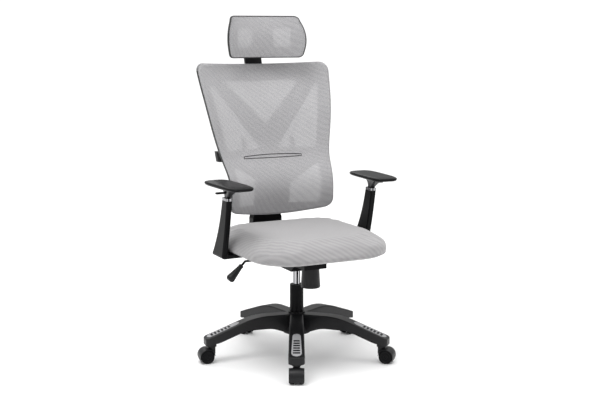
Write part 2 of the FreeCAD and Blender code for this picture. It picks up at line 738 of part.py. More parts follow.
def make_tread_inserts():
    parts = []
    for index in range(5):
        body = new_body(f"tread_insert_{index + 1}")
        plate = new_sketch(body, "XY_Plane", ("0", "0", "0"), (0, 1, 0), "leg_slope")
        insert_profile(plate, "0")
        slab = extrude(body, plate, "insert_thickness")
        slots = new_sketch(body, "XY_Plane", ("0", "0", "0"), (0, 1, 0), "leg_slope")
        for slot in range(int(number("slot_count"))):
            start = f"slot_first + slot_pitch * {slot}"
            half = (f"insert_inner_half_width - slot_edge + (insert_outer_half_width"
                    f" - insert_inner_half_width) * ({start}) / {INSERT_LENGTH}")
            rectangle(slots, start, f"{start} + slot_width", f"-({half})", half)
        extrude(body, slots, "insert_thickness * 3", cut=True, middle=True)
        yaw = leg_yaw(index)
        height = f"{leg_top_at('insert_start')} - insert_depth * cos(leg_slope)"
        place(body, (f"insert_start * cos({yaw})", f"insert_start * sin({yaw})", height),
              angle=yaw)
        parts.append(body)
    return compound("tread_inserts", parts)


def make_caster_stems():
    parts = []
    for index in range(5):
        stem = primitive("Cylinder", f"caster_stem_{index + 1}", Radius="stem_radius",
                         Height="stem_top - stem_bottom - press_fit")
        yaw = leg_yaw(index)
        place(stem, (f"caster_reach * cos({yaw})", f"caster_reach * sin({yaw})",
                     "stem_bottom"))
        parts.append(stem)
    return compound("caster_stems", parts)


# ---------------------------------------------------------------- gas lift

def make_gas_lift():
    tube = turned_body("lift_outer_tube", [[
        ("rod_radius + running_fit", "tube_bottom"),
        ("tube_radius", "tube_bottom"),
        ("tube_radius", "tube_top"),
        ("tube_radius - tube_wall", "tube_top"),
        ("tube_radius - tube_wall", "tube_bottom + tube_floor"),
        ("rod_radius + running_fit", "tube_bottom + tube_floor"),
    ]])
    keep(tube, "lift_outer_tube")
    bush = turned_body("lift_guide_bush", [[
        ("column_radius + running_fit", "tube_top - bush_length"),
        ("tube_radius - tube_wall - press_fit", "tube_top - bush_length"),
        ("tube_radius - tube_wall - press_fit", "tube_top"),
        ("tube_radius - 1", "tube_top"),
        ("tube_radius - 1", "tube_top + bush_flange"),
        ("column_radius + running_fit", "tube_top + bush_flange"),
    ]])
    keep(bush, "lift_guide_bush")
    groove_low = "tube_bottom - 2 * washer_height"
    groove_high = "tube_bottom - washer_height"
    shoulder = "tube_bottom + tube_floor + bearing_height"
    rod = turned_body("lift_piston_rod", [[
        ("0", "tube_bottom - rod_end"),
        ("rod_radius", "tube_bottom - rod_end"),
        ("rod_radius", groove_low),
        ("rod_radius - rod_groove", groove_low),
        ("rod_radius - rod_groove", groove_high),
        ("rod_radius", groove_high),
        ("rod_radius", shoulder),
        ("shoulder_radius", shoulder),
        ("shoulder_radius", f"{shoulder} + shoulder_height"),
        ("rod_radius", f"{shoulder} + shoulder_height"),
        ("rod_radius", "piston_top - piston_height"),
        ("column_radius - column_wall - running_fit", "piston_top - piston_height"),
        ("column_radius - column_wall - running_fit", "piston_top"),
        ("0", "piston_top"),
    ]])
    keep(rod, "lift_piston_rod")
    bearing = turned_body("lift_thrust_bearing", [[
        ("rod_radius + press_fit", "tube_bottom + tube_floor"),
        ("bearing_radius", "tube_bottom + tube_floor"),
        ("bearing_radius", shoulder),
        ("rod_radius + press_fit", shoulder),
    ]])
    keep(bearing, "lift_thrust_bearing")
    washer = turned_body("lift_washer", [[
        ("rod_radius + press_fit", groove_high),
        ("washer_radius", groove_high),
        ("washer_radius", "tube_bottom"),
        ("rod_radius + press_fit", "tube_bottom"),
    ]])
    clip = turned_body("lift_clip", [[
        ("rod_radius - rod_groove + press_fit", groove_low),
        ("clip_radius", groove_low),
        ("clip_radius", groove_high),
        ("rod_radius - rod_groove + press_fit", groove_high),
    ]])
    compound("lift_retaining_clip", [washer, clip])
    bore = "column_radius - column_wall"
    column = turned_body("lift_inner_column", [[
        ("rod_radius + running_fit", "column_bottom"),
        ("column_radius", "column_bottom"),
        ("column_radius", "column_top"),
        ("button_radius + running_fit", "column_top"),
        ("button_radius + running_fit", "column_top - column_cap"),
        (bore, "column_top - column_cap"),
        (bore, "column_bottom + column_foot"),
        ("rod_radius + running_fit", "column_bottom + column_foot"),
    ]])
    keep(column, "lift_inner_column")
    button = primitive("Cylinder", "lift_release_button", Radius="button_radius",
                       Height="button_length")
    place(button, ("0", "0", "button_top - button_length"))
    keep(button, "lift_release_button")


# ---------------------------------------------------------------- casters

def caster_place(item, index):
    yaw = leg_yaw(index)
    place(item, (f"caster_reach * cos({yaw})", f"caster_reach * sin({yaw})", "0"), angle=yaw)


AXLE = ("caster_trail", "0", "axle_height")


def make_caster_housing(index):
    label = f"caster_{index + 1}_housing"
    body = new_body(label)
    half = new_sketch(body, "XY_Plane", AXLE)
    outline(half, [
        ("0", "-hood_half_width"),
        ("hood_edge_radius", "-hood_half_width"),
        ("arc", "hood_radius", "0"),
        ("hood_edge_radius", "hood_half_width"),
        ("0", "hood_half_width"),
    ])
    hood = revolve(body, half)
    hood.Type = "TwoAngles"
    hood.setExpression("Angle", linked("hood_front_angle"))
    hood.setExpression("Angle2", linked("hood_rear_angle"))
    boss = new_sketch(body, "XY_Plane", ("0", "0", "caster_boss_bottom"))
    circle(boss, "caster_boss_radius")
    extrude(body, boss, "caster_boss_top - caster_boss_bottom")
    pockets = new_sketch(body, "XY_Plane", AXLE)
    for side in ("", "-"):
        near = f"{side}web_half_width"
        far = f"{side}hood_half_width * 2"
        outline(pockets, [
            ("0", near),
            ("wheel_radius + hood_clearance", near),
            ("wheel_radius + hood_clearance", far),
            ("0", far),
        ])
    revolve(body, pockets, cut=True)
    hub = new_sketch(body, "XZ_Plane")
    circle(hub, "axle_radius * 3", "caster_trail", "axle_height")
    extrude(body, hub, "web_half_width * 2", middle=True)
    stem = new_sketch(body, "XY_Plane", ("0", "0", "stem_bottom - 1"))
    circle(stem, "stem_radius + running_fit")
    extrude(body, stem, "stem_top", cut=True, flip=True)
    bore = new_sketch(body, "XZ_Plane")
    circle(bore, "axle_radius + press_fit", "caster_trail", "axle_height")
    extrude(body, bore, "hood_half_width * 4", cut=True, middle=True)
    caster_place(body, index)
    return keep(body, label)


def make_caster_axle(index):
    label = f"caster_{index + 1}_axle"
    body = new_body(label)
    section = new_sketch(body, "XZ_Plane")
    circle(section, "axle_radius", "caster_trail", "axle_height")
    extrude(body, section, "axle_half_length * 2", middle=True)
    caster_place(body, index)
    return keep(body, label)


def make_caster_wheel(index, name, side):
    label = f"caster_{index + 1}_{name}"
    body = new_body(label)
    section = new_sketch(body, "XY_Plane", AXLE)
    inner = f"{side} * wheel_inner_face"
    outer = f"{side} * wheel_outer_face"
    blind = f"{side} * (axle_half_length + running_fit * 4)"
    dish = f"{side} * (wheel_outer_face - wheel_dish)"
    round_cut = 1 - math.cos(math.radians(45))
    edge_cut = f"wheel_edge_radius * {round_cut}"
    outline(section, [
        ("axle_radius + running_fit", inner),
        ("wheel_radius - wheel_edge_radius", inner),
        ("arc", f"wheel_radius - {edge_cut}", f"{inner} + {side} * {edge_cut}"),
        ("wheel_radius", f"{inner} + {side} * wheel_edge_radius"),
        ("wheel_radius", f"{outer} - {side} * wheel_edge_radius"),
        ("arc", f"wheel_radius - {edge_cut}", f"{outer} - {side} * {edge_cut}"),
        ("wheel_radius - wheel_edge_radius", outer),
        ("wheel_radius - wheel_edge_radius - wheel_rim * 0.4", outer),
        ("wheel_radius - wheel_edge_radius - wheel_rim", dish),
        ("axle_radius * 2.6", dish),
        ("axle_radius * 2.2", outer),
        ("0", outer),
        ("0", blind),
        ("axle_radius + running_fit", blind),
    ])
    revolve(body, section)
    caster_place(body, index)
    return keep(body, label)


# ---------------------------------------------------------------- tilt mechanism

def make_mechanism_housing():
    body = new_body("mechanism_housing")
    side = new_sketch(body, "YZ_Plane")
    outline(side, [
        ("mech_front", "mech_front_floor"),
        ("mech_step_front", "mech_front_floor"),
        ("mech_step_rear", "mech_floor"),
        ("mech_rear - 18", "mech_floor"),
        ("mech_rear", "mech_floor + 18"),
        ("mech_rear", "mech_rear_top"),
        ("mech_slope_start", "mech_top"),
        ("mech_stop_rear + 8", "mech_top"),
        ("mech_stop_rear", "pan_bottom - plate_thickness - soft_gap"),
        ("mech_front", "pan_bottom - plate_thickness - soft_gap"),
    ])
    block = extrude(body, side, "mech_half_width * 2", middle=True)
    inner = new_sketch(body, "YZ_Plane")
    slant = "mech_wall * 0.42"
    outline(inner, [
        ("mech_front + mech_wall", "mech_front_floor + mech_wall"),
        (f"mech_step_front + {slant}", "mech_front_floor + mech_wall"),
        (f"mech_step_rear + {slant}", "mech_floor + mech_wall"),
        (f"mech_rear - 18 - {slant}", "mech_floor + mech_wall"),
        ("mech_rear - mech_wall", f"mech_floor + 18 + {slant}"),
        ("mech_rear - mech_wall", "pan_bottom"),
        ("mech_front + mech_wall", "pan_bottom"),
    ])
    extrude(body, inner, "(mech_half_width - mech_wall) * 2", cut=True, middle=True)
    socket = new_sketch(body, "XY_Plane", ("0", "0", "mech_floor"))
    circle(socket, "column_radius + socket_wall")
    extrude(body, socket, "socket_top - mech_floor")
    bore = new_sketch(body, "XY_Plane")
    circle(bore, "column_radius + press_fit")
    extrude(body, bore, "mech_top * 2", cut=True, flip=True)
    bolt = new_sketch(body, "XY_Plane")
    circle(bolt, "tension_bolt_radius + press_fit", "0", "knob_axis_y")
    extrude(body, bolt, "mech_top", cut=True, flip=True)
    axle = new_sketch(body, "YZ_Plane")
    circle(axle, "tilt_axle_radius + running_fit", "tilt_axis_y", "tilt_axis_z")
    extrude(body, axle, "mech_half_width * 4", cut=True, middle=True)
    bush = new_sketch(body, "YZ_Plane")
    circle(bush, "lever_bush_radius + running_fit", "lever_y", "lever_z")
    extrude(body, bush, "mech_half_width * 2", cut=True)
    return keep(body, "mechanism_housing")


def make_tilt_plate():
    body = new_body("tilt_plate")
    plate = new_sketch(body, "XY_Plane", ("0", "0", "pan_bottom - plate_thickness"))
    rounded_rectangle(plate, "tilt_plate_half_width", "tilt_plate_front",
                      "tilt_plate_rear", "16", "16")
    extrude(body, plate, "plate_thickness")
    ear = new_sketch(body, "YZ_Plane")
    outline(ear, [
        ("tilt_axis_y - ear_half_width", "tilt_axis_z"),
        ("arc", "tilt_axis_y", "tilt_axis_z - ear_half_width"),
        ("tilt_axis_y + ear_half_width", "tilt_axis_z"),
        ("tilt_axis_y + ear_half_width", "pan_bottom - plate_thickness"),
        ("tilt_axis_y - ear_half_width", "pan_bottom - plate_thickness"),
    ])
    extrude(body, ear, "(ear_inner_face + ear_thickness) * 2", middle=True)
    space = new_sketch(body, "YZ_Plane")
    rectangle(space, "tilt_axis_y - ear_half_width * 2", "tilt_axis_y + ear_half_width * 2",
              "tilt_axis_z - ear_half_width * 2", "pan_bottom - plate_thickness")
    extrude(body, space, "ear_inner_face * 2", cut=True, middle=True)
    axle = new_sketch(body, "YZ_Plane")
    circle(axle, "tilt_axle_radius + press_fit", "tilt_axis_y", "tilt_axis_z")
    extrude(body, axle, "ear_inner_face * 4", cut=True, middle=True)
    holes = new_sketch(body, "XY_Plane")
    for x, y in PLATE_BOLTS:
        circle(holes, "bolt_radius + bolt_fit", x, y)
    extrude(body, holes, "pan_bottom * 2", cut=True, flip=True)
    keep(body, "tilt_plate")
    axle = primitive("Cylinder", "tilt_axle", Radius="tilt_axle_radius",
                     Height="(ear_inner_face + ear_thickness + 2) * 2")
    place(axle, ("-ear_inner_face - ear_thickness - 2", "tilt_axis_y", "tilt_axis_z"),
          (0, 1, 0), "90")
    keep(axle, "tilt_axle")


def make_tension_set():
    floor_top = "mech_front_floor + mech_wall"
    knob = new_body("tension_knob")
    section = new_sketch(knob, "XZ_Plane")
    outline(section, [
        ("0", "knob_bottom"),
        ("knob_bottom_radius", "knob_bottom"),
        ("knob_top_radius", "knob_top"),
        ("knob_bore_radius + 0.5", "knob_top"),
        ("knob_bore_radius + 0.5", "knob_bottom + knob_floor"),
        ("knob_hub_radius", "knob_bottom + knob_floor"),
        ("knob_hub_radius", "knob_bottom + knob_hub_height"),
        ("tension_bolt_radius + running_fit", "knob_bottom + knob_hub_height"),
        ("tension_bolt_radius + running_fit", "knob_bottom + knob_floor * 0.4"),
        ("0", "knob_bottom + knob_floor * 0.4"),
    ])
    turned = revolve(knob, section)

    def lower_rim(edge):
        return (abs(edge.CenterOfMass.z - number("knob_bottom")) < 0.1
                and edge.BoundBox.XLength > number("knob_bottom_radius"))

    fillet(knob, turned, "knob_rounding", lower_rim)
    flute = new_sketch(knob, "XY_Plane", ("0", "0", "knob_bottom + knob_rounding * 2"))
    circle(flute, "flute_radius", "knob_bottom_radius + flute_radius * 0.35")
    groove = extrude(knob, flute, "knob_top", cut=True, flip=True)
    document.recompute()
    polar(knob, [groove], "flute_count")
    place(knob, ("0", "knob_axis_y", "0"))
    keep(knob, "tension_knob")

    shank = primitive("Cylinder", "tension_shank", Radius="tension_bolt_radius",
                      Height=f"{floor_top} - knob_bottom - knob_floor * 0.4 - bolt_end_gap")
    place(shank, ("0", "knob_axis_y", "knob_bottom + knob_floor * 0.4 + bolt_end_gap"))
    head = primitive("Prism", "tension_head", Circumradius="tension_head_radius",
                     Height="tension_head_height")
    head.Polygon = 6
    place(head, ("0", "knob_axis_y", floor_top))
    bolt = document.addObject("Part::Fuse", "tension_bolt")
    bolt.Base = shank
    bolt.Tool = head
    keep(bolt, "tension_bolt")

    nut = turned_body("tension_nut", [[
        ("tension_bolt_radius + running_fit", "nut_bottom"),
        ("knob_bore_radius", "nut_bottom"),
        ("knob_bore_radius", "nut_bottom + nut_height"),
        ("tension_bolt_radius + running_fit", "nut_bottom + nut_height"),
    ]])
    place(nut, ("0", "knob_axis_y", "0"))
    keep(nut, "tension_nut")

    spring = new_body("tension_spring")
    wire = new_sketch(spring, "XZ_Plane")
    circle(wire, "spring_wire", "spring_radius",
           "nut_bottom + nut_height + spring_wire + soft_gap")
    coil = spring.newObject("PartDesign::AdditiveHelix", "tension_spring_coil")
    coil.Profile = wire
    coil.ReferenceAxis = (wire, ["V_Axis"])
    coil.Mode = "height-turns-angle"
    coil.setExpression("Height", linked(
        "mech_front_floor - nut_bottom - nut_height - 2 * spring_wire - 2 * soft_gap"))
    coil.setExpression("Turns", linked("spring_turns"))
    place(spring, ("0", "knob_axis_y", "0"))
    keep(spring, "tension_spring")


# ---------------------------------------------------------------- height lever

def make_lever():
    inner = "lever_pivot_x + lever_bush_length * 0.6"
    outer = "lever_pivot_x - lever_bush_length * 0.4"
    wide = "lever_radius + running_fit * 2 + lever_swing * lever_bush_length * 0.6"
    bush = new_body("lever_bush")
    section = new_sketch(bush, "XZ_Plane", ("0", "0", "0"))
    outline(section, [
        (inner, wide),
        (inner, "lever_bush_radius"),
        (outer, "lever_bush_radius"),
        (outer, "lever_flange_radius"),
        (f"{outer} - lever_flange", "lever_flange_radius"),
        (f"{outer} - lever_flange", wide),
        ("lever_pivot_x", "lever_radius + running_fit * 2"),
    ])
    revolve(bush, section, axis="H_Axis")
    place(bush, ("0", "lever_y", "lever_z"))
    keep(bush, "lever_bush")

    rod = new_body("lever_rod")
    path = new_sketch(rod, "XZ_Plane", ("0", "0", "-lever_y"))
    start = path.addGeometry(Part.LineSegment(
        Vector(number("-paddle_half_length * 0.5"), number("lever_z"), 0),
        Vector(number("lever_bend_x"), number("lever_z"), 0)))
    bend = path.addGeometry(Part.LineSegment(
        Vector(number("lever_bend_x"), number("lever_z"), 0),
        Vector(number("lever_end_x"), number("lever_end_z"), 0)))
    bind_point(path, start, 1, "-paddle_half_length * 0.5", "lever_z")
    bind_point(path, start, 2, "lever_bend_x", "lever_z")
    path.addConstraint(Sketcher.Constraint("Coincident", start, 2, bend, 1))
    bind_point(path, bend, 2, "lever_end_x", "lever_end_z")
    section = new_sketch(rod, "YZ_Plane", ("0", "0", "-paddle_half_length * 0.5"))
    circle(section, "lever_radius", "lever_y", "lever_z")
    pipe = rod.newObject("PartDesign::AdditivePipe", "lever_rod_pipe")
    pipe.Profile = section
    pipe.Spine = (path, ["Edge1", "Edge2"])
    pipe.Transition = "Right corner"
    paddle = new_sketch(rod, "XY_Plane", ("0", "0", "button_top + soft_gap"))
    rectangle(paddle, "-paddle_half_length", "paddle_half_length",
              "paddle_front", "paddle_rear")
    extrude(rod, paddle, "paddle_thickness")
    keep(rod, "lever_rod")

    grip = new_body("lever_grip")
    section = new_sketch(grip, "XZ_Plane")
    taper = "(grip_end_radius - grip_start_radius) / (grip_length - grip_overlap)"
    side = [("lever_radius + press_fit", "-grip_overlap"),
            ("grip_start_radius", "-grip_overlap")]
    for rib in range(int(number("grip_rib_count"))):
        low = f"(grip_rib_pitch * ({rib} + 0.5) - grip_overlap * 0.5)"
        high = f"({low} + grip_rib_pitch * 0.35)"
        for edge, depth in ((low, "0"), (low, "grip_rib"), (high, "grip_rib"), (high, "0")):
            side.append((f"grip_start_radius + {taper} * {edge} - {depth}", edge))
    side += [("grip_end_radius", "grip_length - grip_overlap"),
             ("arc", "grip_end_radius * 0.86", "grip_length - grip_overlap * 0.3"),
             ("grip_end_radius * 0.5", "grip_length"),
             ("0", "grip_length"),
             ("0", "press_fit"),
             ("lever_radius + press_fit", "press_fit")]
    outline(section, side)
    revolve(grip, section)
    place(grip, ("lever_end_x", "lever_y", "lever_end_z"), (0, 1, 0),
          "atan2(lever_end_x - lever_bend_x; lever_end_z - lever_z)")
    keep(grip, "lever_grip")


# ---------------------------------------------------------------- seat

BAR_MIDDLE = "(elbow_front + elbow_rear) / 2"
PLATE_BOLTS = [(f"{sign}plate_bolt_x", y) for sign in ("-", "")
               for y in ("plate_bolt_front", "plate_bolt_rear")]
BRACKET_BOLTS = [(f"{sign}bracket_bolt_x", y) for sign in ("-", "")
                 for y in ("bracket_bolt_front", "bracket_bolt_rear")]


def arm_bolts(sign):
    return [(f"{sign}arm_bolt_inner_x", f"{BAR_MIDDLE} - arm_bolt_spread"),
            (f"{sign}arm_bolt_inner_x", f"{BAR_MIDDLE} + arm_bolt_spread"),
            (f"{sign}arm_bolt_outer_x", BAR_MIDDLE)]


PAN_BOLTS = PLATE_BOLTS + BRACKET_BOLTS + arm_bolts("-") + arm_bolts("")


def make_seat():
    pan = new_body("seat_pan")
    plan = new_sketch(pan, "XY_Plane", ("0", "0", "pan_bottom"))
    rounded_rectangle(plan, "pan_half_width", "pan_front", "pan_rear",
                      "pan_corner", "pan_corner")
    for x, y in PAN_BOLTS:
        circle(plan, "bolt_radius + press_fit", x, y)
    extrude(pan, plan, "pan_thickness")
    keep(pan, "seat_pan")

    cushion = new_body("seat_cushion")
    levels = [("soft_gap", "cushion_under_inset"),
              ("cushion_wide_height", "0"),
              ("cushion_shoulder_height", "cushion_shoulder_inset"),
              ("cushion_height", "cushion_crown_inset")]
    sections = []
    for height, inset in levels:
        section = new_sketch(cushion, "XY_Plane", ("0", "0", f"pan_bottom + {height}"))
        rounded_rectangle(section, f"cushion_half_width - {inset}",
                          f"(cushion_front + {inset})", f"(cushion_rear - {inset})",
                          f"(cushion_front_corner - {inset} * 0.5)",
                          f"(cushion_rear_corner - {inset} * 0.5)")
        sections.append(section)
    loft = cushion.newObject("PartDesign::AdditiveLoft", "cushion_loft")
    loft.Profile = sections[0]
    loft.Sections = [(section, [""]) for section in sections[1:]]
    recess = new_sketch(cushion, "XY_Plane", ("0", "0", "pan_bottom"))
    rounded_rectangle(recess, "pan_half_width + soft_gap", "(pan_front - soft_gap)",
                      "(pan_rear + soft_gap)", "(pan_corner + soft_gap)",
                      "(pan_corner + soft_gap)")
    extrude(cushion, recess, "pan_thickness + soft_gap", cut=True, flip=True)
    keep(cushion, "seat_cushion")


def hexagon_bolt(name, position, axis, angle):
    """One clamping bolt with its head's upper face at the position."""
    head = primitive("Prism", name + "_head", Circumradius="bolt_head_radius",
                     Height="bolt_head_height")
    head.Polygon = 6
    place(head, ("0", "0", "-bolt_head_height"))
    shank = primitive("Cylinder", name + "_shank", Radius="bolt_radius",
                      Height="plate_thickness + bolt_grip + 1")
    place(shank, ("0", "0", "-1"))
    bolt = document.addObject("Part::Fuse", name)
    bolt.Base = head
    bolt.Tool = shank
    place(bolt, position, axis, angle)
    return bolt


SPINE_BOLTS = [(f"{sign}spine_bolt_x", z) for sign in ("-", "")
               for z in ("spine_bolt_low", "spine_bolt_high")]


def bracket_face(z):
    """Depth of the back bracket's front face at a height."""
    rise = "(bracket_top_y - bracket_rise_y) / (bracket_top_z - bracket_rise_z)"
    return f"(bracket_rise_y + {rise} * ({z} - bracket_rise_z))"


def make_frame_bolts():
    parts = []
    for index, (x, y) in enumerate(PAN_BOLTS):
        parts.append(hexagon_bolt(f"pan_bolt_{index + 1}",
                                  (x, y, "pan_bottom - plate_thickness"), (0, 0, 1), "0"))
    for index, (x, z) in enumerate(SPINE_BOLTS):
        parts.append(hexagon_bolt(f"spine_bolt_{index + 1}",
                                  (x, f"{bracket_face(z)} + plate_thickness", z),
                                  (1, 0, 0), "90"))
    compound("frame_bolts", parts)


def make_back_bracket():
    body = new_body("back_bracket")
    side = new_sketch(body, "YZ_Plane")
    under = "pan_bottom - plate_thickness"
    outline(side, [
        ("bracket_front", "pan_bottom"),
        ("bracket_front", under),
        ("bracket_thick_start", under),
        ("bracket_thick_end", "pan_bottom - bracket_drop"),
        ("bracket_rise_y + bracket_thickness", "pan_bottom - bracket_drop"),
        ("bracket_rise_y + bracket_thickness", "bracket_rise_z"),
        ("bracket_top_y + bracket_thickness", "bracket_top_z"),
        ("bracket_top_y", "bracket_top_z"),
        ("bracket_rise_y", "bracket_rise_z"),
        ("bracket_rise_y", "pan_bottom"),
    ])
    bar = extrude(body, side, "bracket_half_width * 2", middle=True)

    def outer_bend(edge):
        middle = edge.CenterOfMass
        return (across(edge) and middle.y > number("bracket_rise_y") + 1
                and middle.z < number("pan_bottom"))

    bent = fillet(body, bar, "bracket_bend_radius", outer_bend)

    def inner_bend(edge):
        middle = edge.CenterOfMass
        return (across(edge) and abs(middle.y - number("bracket_rise_y")) < 1
                and abs(middle.z - number("pan_bottom")) < 1)

    fillet(body, bent, "bracket_bend_radius * 0.5", inner_bend)
    neck = new_sketch(body, "XZ_Plane")
    for sign in ("", "-"):
        outline(neck, [
            (f"{sign}bracket_half_width", "bracket_neck_start"),
            (f"{sign}bracket_neck_half_width", "bracket_neck_end"),
            (f"{sign}bracket_neck_half_width", "bracket_top_z + 10"),
            (f"{sign}(bracket_half_width * 2)", "bracket_top_z + 10"),
            (f"{sign}(bracket_half_width * 2)", "bracket_neck_start"),
        ])
    extrude(body, neck, "bracket_rise_y * 4", cut=True, middle=True)
    holes = new_sketch(body, "XY_Plane")
    for x, y in BRACKET_BOLTS:
        circle(holes, "bolt_radius + bolt_fit", x, y)
    extrude(body, holes, "pan_bottom + 1", cut=True, flip=True)
    through = new_sketch(body, "XZ_Plane")
    for x, z in SPINE_BOLTS:
        circle(through, "bolt_radius + bolt_fit", x, z)
    extrude(body, through, "bracket_rise_y * 4", cut=True, middle=True)
    for z in ("spine_bolt_low", "spine_bolt_high"):
        floor = f"-({bracket_face(z)} + plate_thickness)"
        recess = new_sketch(body, "XZ_Plane", ("0", "0", floor))
        for sign in ("-", ""):
            circle(recess, "counterbore_radius", f"{sign}spine_bolt_x", z)
        extrude(body, recess, "bracket_thickness * 2", cut=True)
    keep(body, "back_bracket")


# ---------------------------------------------------------------- arms

def arm_place(item, side):
    place(item, (f"{side} * arm_x", "arm_top_y", "arm_top_z"), (1, 0, 0), "arm_lean")


def slider_hole(item):
    """Draw the channel of the inner post."""
    rectangle(item, "-slider_thickness / 2 - slider_fit",
              "slider_thickness / 2 + slider_fit",
              "-slider_depth / 2 - slider_fit", "slider_depth / 2 + slider_fit")


def make_arm_bracket(name, side, sign):
    label = f"{name}_arm_bracket"
    body = new_body(label)
    low = "pan_bottom - arm_bar_thickness"
    profile = new_sketch(body, "YZ_Plane", ("0", "0", f"{side} * arm_x"))
    outline(profile, [
        ("arm_top_y - sleeve_depth / 2", "arm_top_z"),
        ("arm_top_y + sleeve_depth / 2", "arm_top_z"),
        ("arc", "sleeve_mid_rear", "sleeve_mid_z"),
        ("elbow_rear", "pan_bottom"),
        ("elbow_rear", low),
        ("elbow_front", low),
        ("arc", "sleeve_mid_front", "sleeve_mid_z"),
    ])
    sleeve = extrude(body, profile, "sleeve_thickness", middle=True)

    def sleeve_edge(edge):
        return edge.BoundBox.XLength < 0.01 and edge.BoundBox.ZLength > 100

    fillet(body, sleeve, "sleeve_edge_radius", sleeve_edge)
    plan = new_sketch(body, "XY_Plane", ("0", "0", low))
    outline(plan, [
        (f"{side} * arm_x", "elbow_front"),
        (f"{side} * arm_x", "elbow_rear"),
        (f"{side} * arm_bar_inner_x", "elbow_rear - arm_bar_taper"),
        (f"{side} * arm_bar_inner_x", "elbow_front + arm_bar_taper"),
    ])
    extrude(body, plan, "arm_bar_thickness")
    outer = "arm_x + sleeve_thickness / 2"
    elbow = new_sketch(body, "XZ_Plane")
    outline(elbow, [
        (f"{side} * ({outer} - elbow_radius)", low),
        ("arc", f"{side} * ({outer} - elbow_radius * (1 - sqrt(0.5)))",
         f"{low} + elbow_radius * (1 - sqrt(0.5))"),
        (f"{side} * ({outer})", f"{low} + elbow_radius"),
        (f"{side} * ({outer} + elbow_radius)", f"{low} + elbow_radius"),
        (f"{side} * ({outer} + elbow_radius)", f"{low} - elbow_radius"),
        (f"{side} * ({outer} - elbow_radius)", f"{low} - elbow_radius"),
    ])
    extrude(body, elbow, "arm_x * 2", cut=True, middle=True)
    holes = new_sketch(body, "XY_Plane")
    heads = new_sketch(body, "XY_Plane")
    for x, y in arm_bolts(sign):
        circle(holes, "bolt_radius + bolt_fit", x, y)
        circle(heads, "counterbore_radius", x, y)
    extrude(body, holes, "pan_bottom + 1", cut=True, flip=True)
    extrude(body, heads, "pan_bottom - plate_thickness", cut=True, flip=True)
    channel = new_sketch(body, "XY_Plane",
                         (f"{side} * arm_x", "arm_top_y - collar_height * sin(arm_lean)",
                          "arm_top_z + collar_height * cos(arm_lean)"),
                         (1, 0, 0), "arm_lean")
    slider_hole(channel)
    extrude(body, channel, "slider_length + channel_extra + collar_height", cut=True)
    keep(body, label)


def make_arm_collars():
    parts = []
    for name, side in (("left", "1"), ("right", "-1")):
        body = new_body(f"{name}_arm_collar")
        ring = new_sketch(body, "XY_Plane")
        rounded_rectangle(ring, "collar_thickness / 2", "(-collar_depth / 2)",
                          "(collar_depth / 2)", "collar_corner", "collar_corner")
        extrude(body, ring, "collar_height")
        channel = new_sketch(body, "XY_Plane", ("0", "0", "0"), (1, 0, 0), "arm_lean")
        slider_hole(channel)
        extrude(body, channel, "collar_height * 6", cut=True, middle=True)
        place(body, (f"{side} * arm_x", "arm_top_y", "arm_top_z"))
        parts.append(body)
    compound("arm_collars", parts)


def make_arm_post(name, side):
    label = f"{name}_arm_post"
    body = new_body(label)
    stem = new_sketch(body, "XY_Plane", ("0", "0", "-slider_length"))
    rectangle(stem, "-slider_thickness / 2", "slider_thickness / 2",
              "-slider_depth / 2", "slider_depth / 2")
    extrude(body, stem, "slider_length + neck_top")
    rise = "(pad_bottom - arm_top_z) / cos(arm_lean)"
    neck_start = ("(collar_height + soft_gap + slider_depth / 2 * sin(arm_lean))"
                  " / cos(arm_lean)")
    levels = [(neck_start, "0", "neck_thickness / 2", "slider_depth / 2"),
              ("neck_top + neck_flare_rise", "0", "neck_thickness / 2 + neck_flare_side",
               "slider_depth / 2 + neck_flare_end"),
              (rise, "-arm_lean", "support_half_width", "support_half_length")]
    sections = []
    for height, turn, half_width, half_length in levels:
        section = new_sketch(body, "XY_Plane", ("0", "0", height), (1, 0, 0), turn)
        rounded_rectangle(section, half_width, f"(-({half_length}))", f"({half_length})",
                          "support_corner", "support_corner")
        sections.append(section)
    loft = body.newObject("PartDesign::AdditiveLoft", label + "_flare")
    loft.Profile = sections[0]
    loft.Sections = [(section, [""]) for section in sections[1:]]
    slot = new_sketch(body, "YZ_Plane", ("0", "0", f"{side} * release_depth"))
    rectangle(slot, "-release_half_width - soft_gap", "release_half_width + soft_gap",
              "release_z - release_slot_height / 2", "release_z + release_slot_height / 2")
    extrude(body, slot, "support_half_width * 2", cut=True, flip=side == "1")
    arm_place(body, side)
    keep(body, label)


def make_arm_pad(name, side):
    label = f"{name}_arm_pad"
    body = new_body(label)
    plan = new_sketch(body, "XY_Plane")
    rounded_rectangle(plan, "pad_half_width", "(-pad_half_length)", "pad_half_length",
                      "pad_corner", "pad_corner")
    block = extrude(body, plan, "pad_thickness")

    def upper_rim(edge):
        return (edge.BoundBox.ZLength < 0.01
                and abs(edge.CenterOfMass.z - number("pad_thickness")) < 0.1)

    fillet(body, block, "pad_edge_radius", upper_rim)
    place(body, (f"{side} * arm_x", "pad_middle_y", "pad_bottom"),
          angle=f"-({side}) * pad_toe_in")
    keep(body, label)


def make_arm_release_lever(name, side):
    label = f"{name}_arm_release_lever"
    body = new_body(label)
    plan = new_sketch(body, "XY_Plane", ("0", "0", "release_z - release_thickness / 2"))
    near = f"{side} * (release_depth + soft_gap)"
    far = f"{side} * (release_depth + release_length)"
    outline(plan, [
        (near, "-release_half_width"),
        (f"{far} - {side} * release_half_width", "-release_half_width"),
        ("arc", far, "0"),
        (f"{far} - {side} * release_half_width", "release_half_width"),
        (near, "release_half_width"),
    ])
    extrude(body, plan, "release_thickness")
    arm_place(body, side)
    keep(body, label)


# ---------------------------------------------------------------- curved sheets
# The back and the headrest are bowl-shaped in plan and lean as they rise, so each is a
# loft through a few arched sections, trimmed by its front outline.

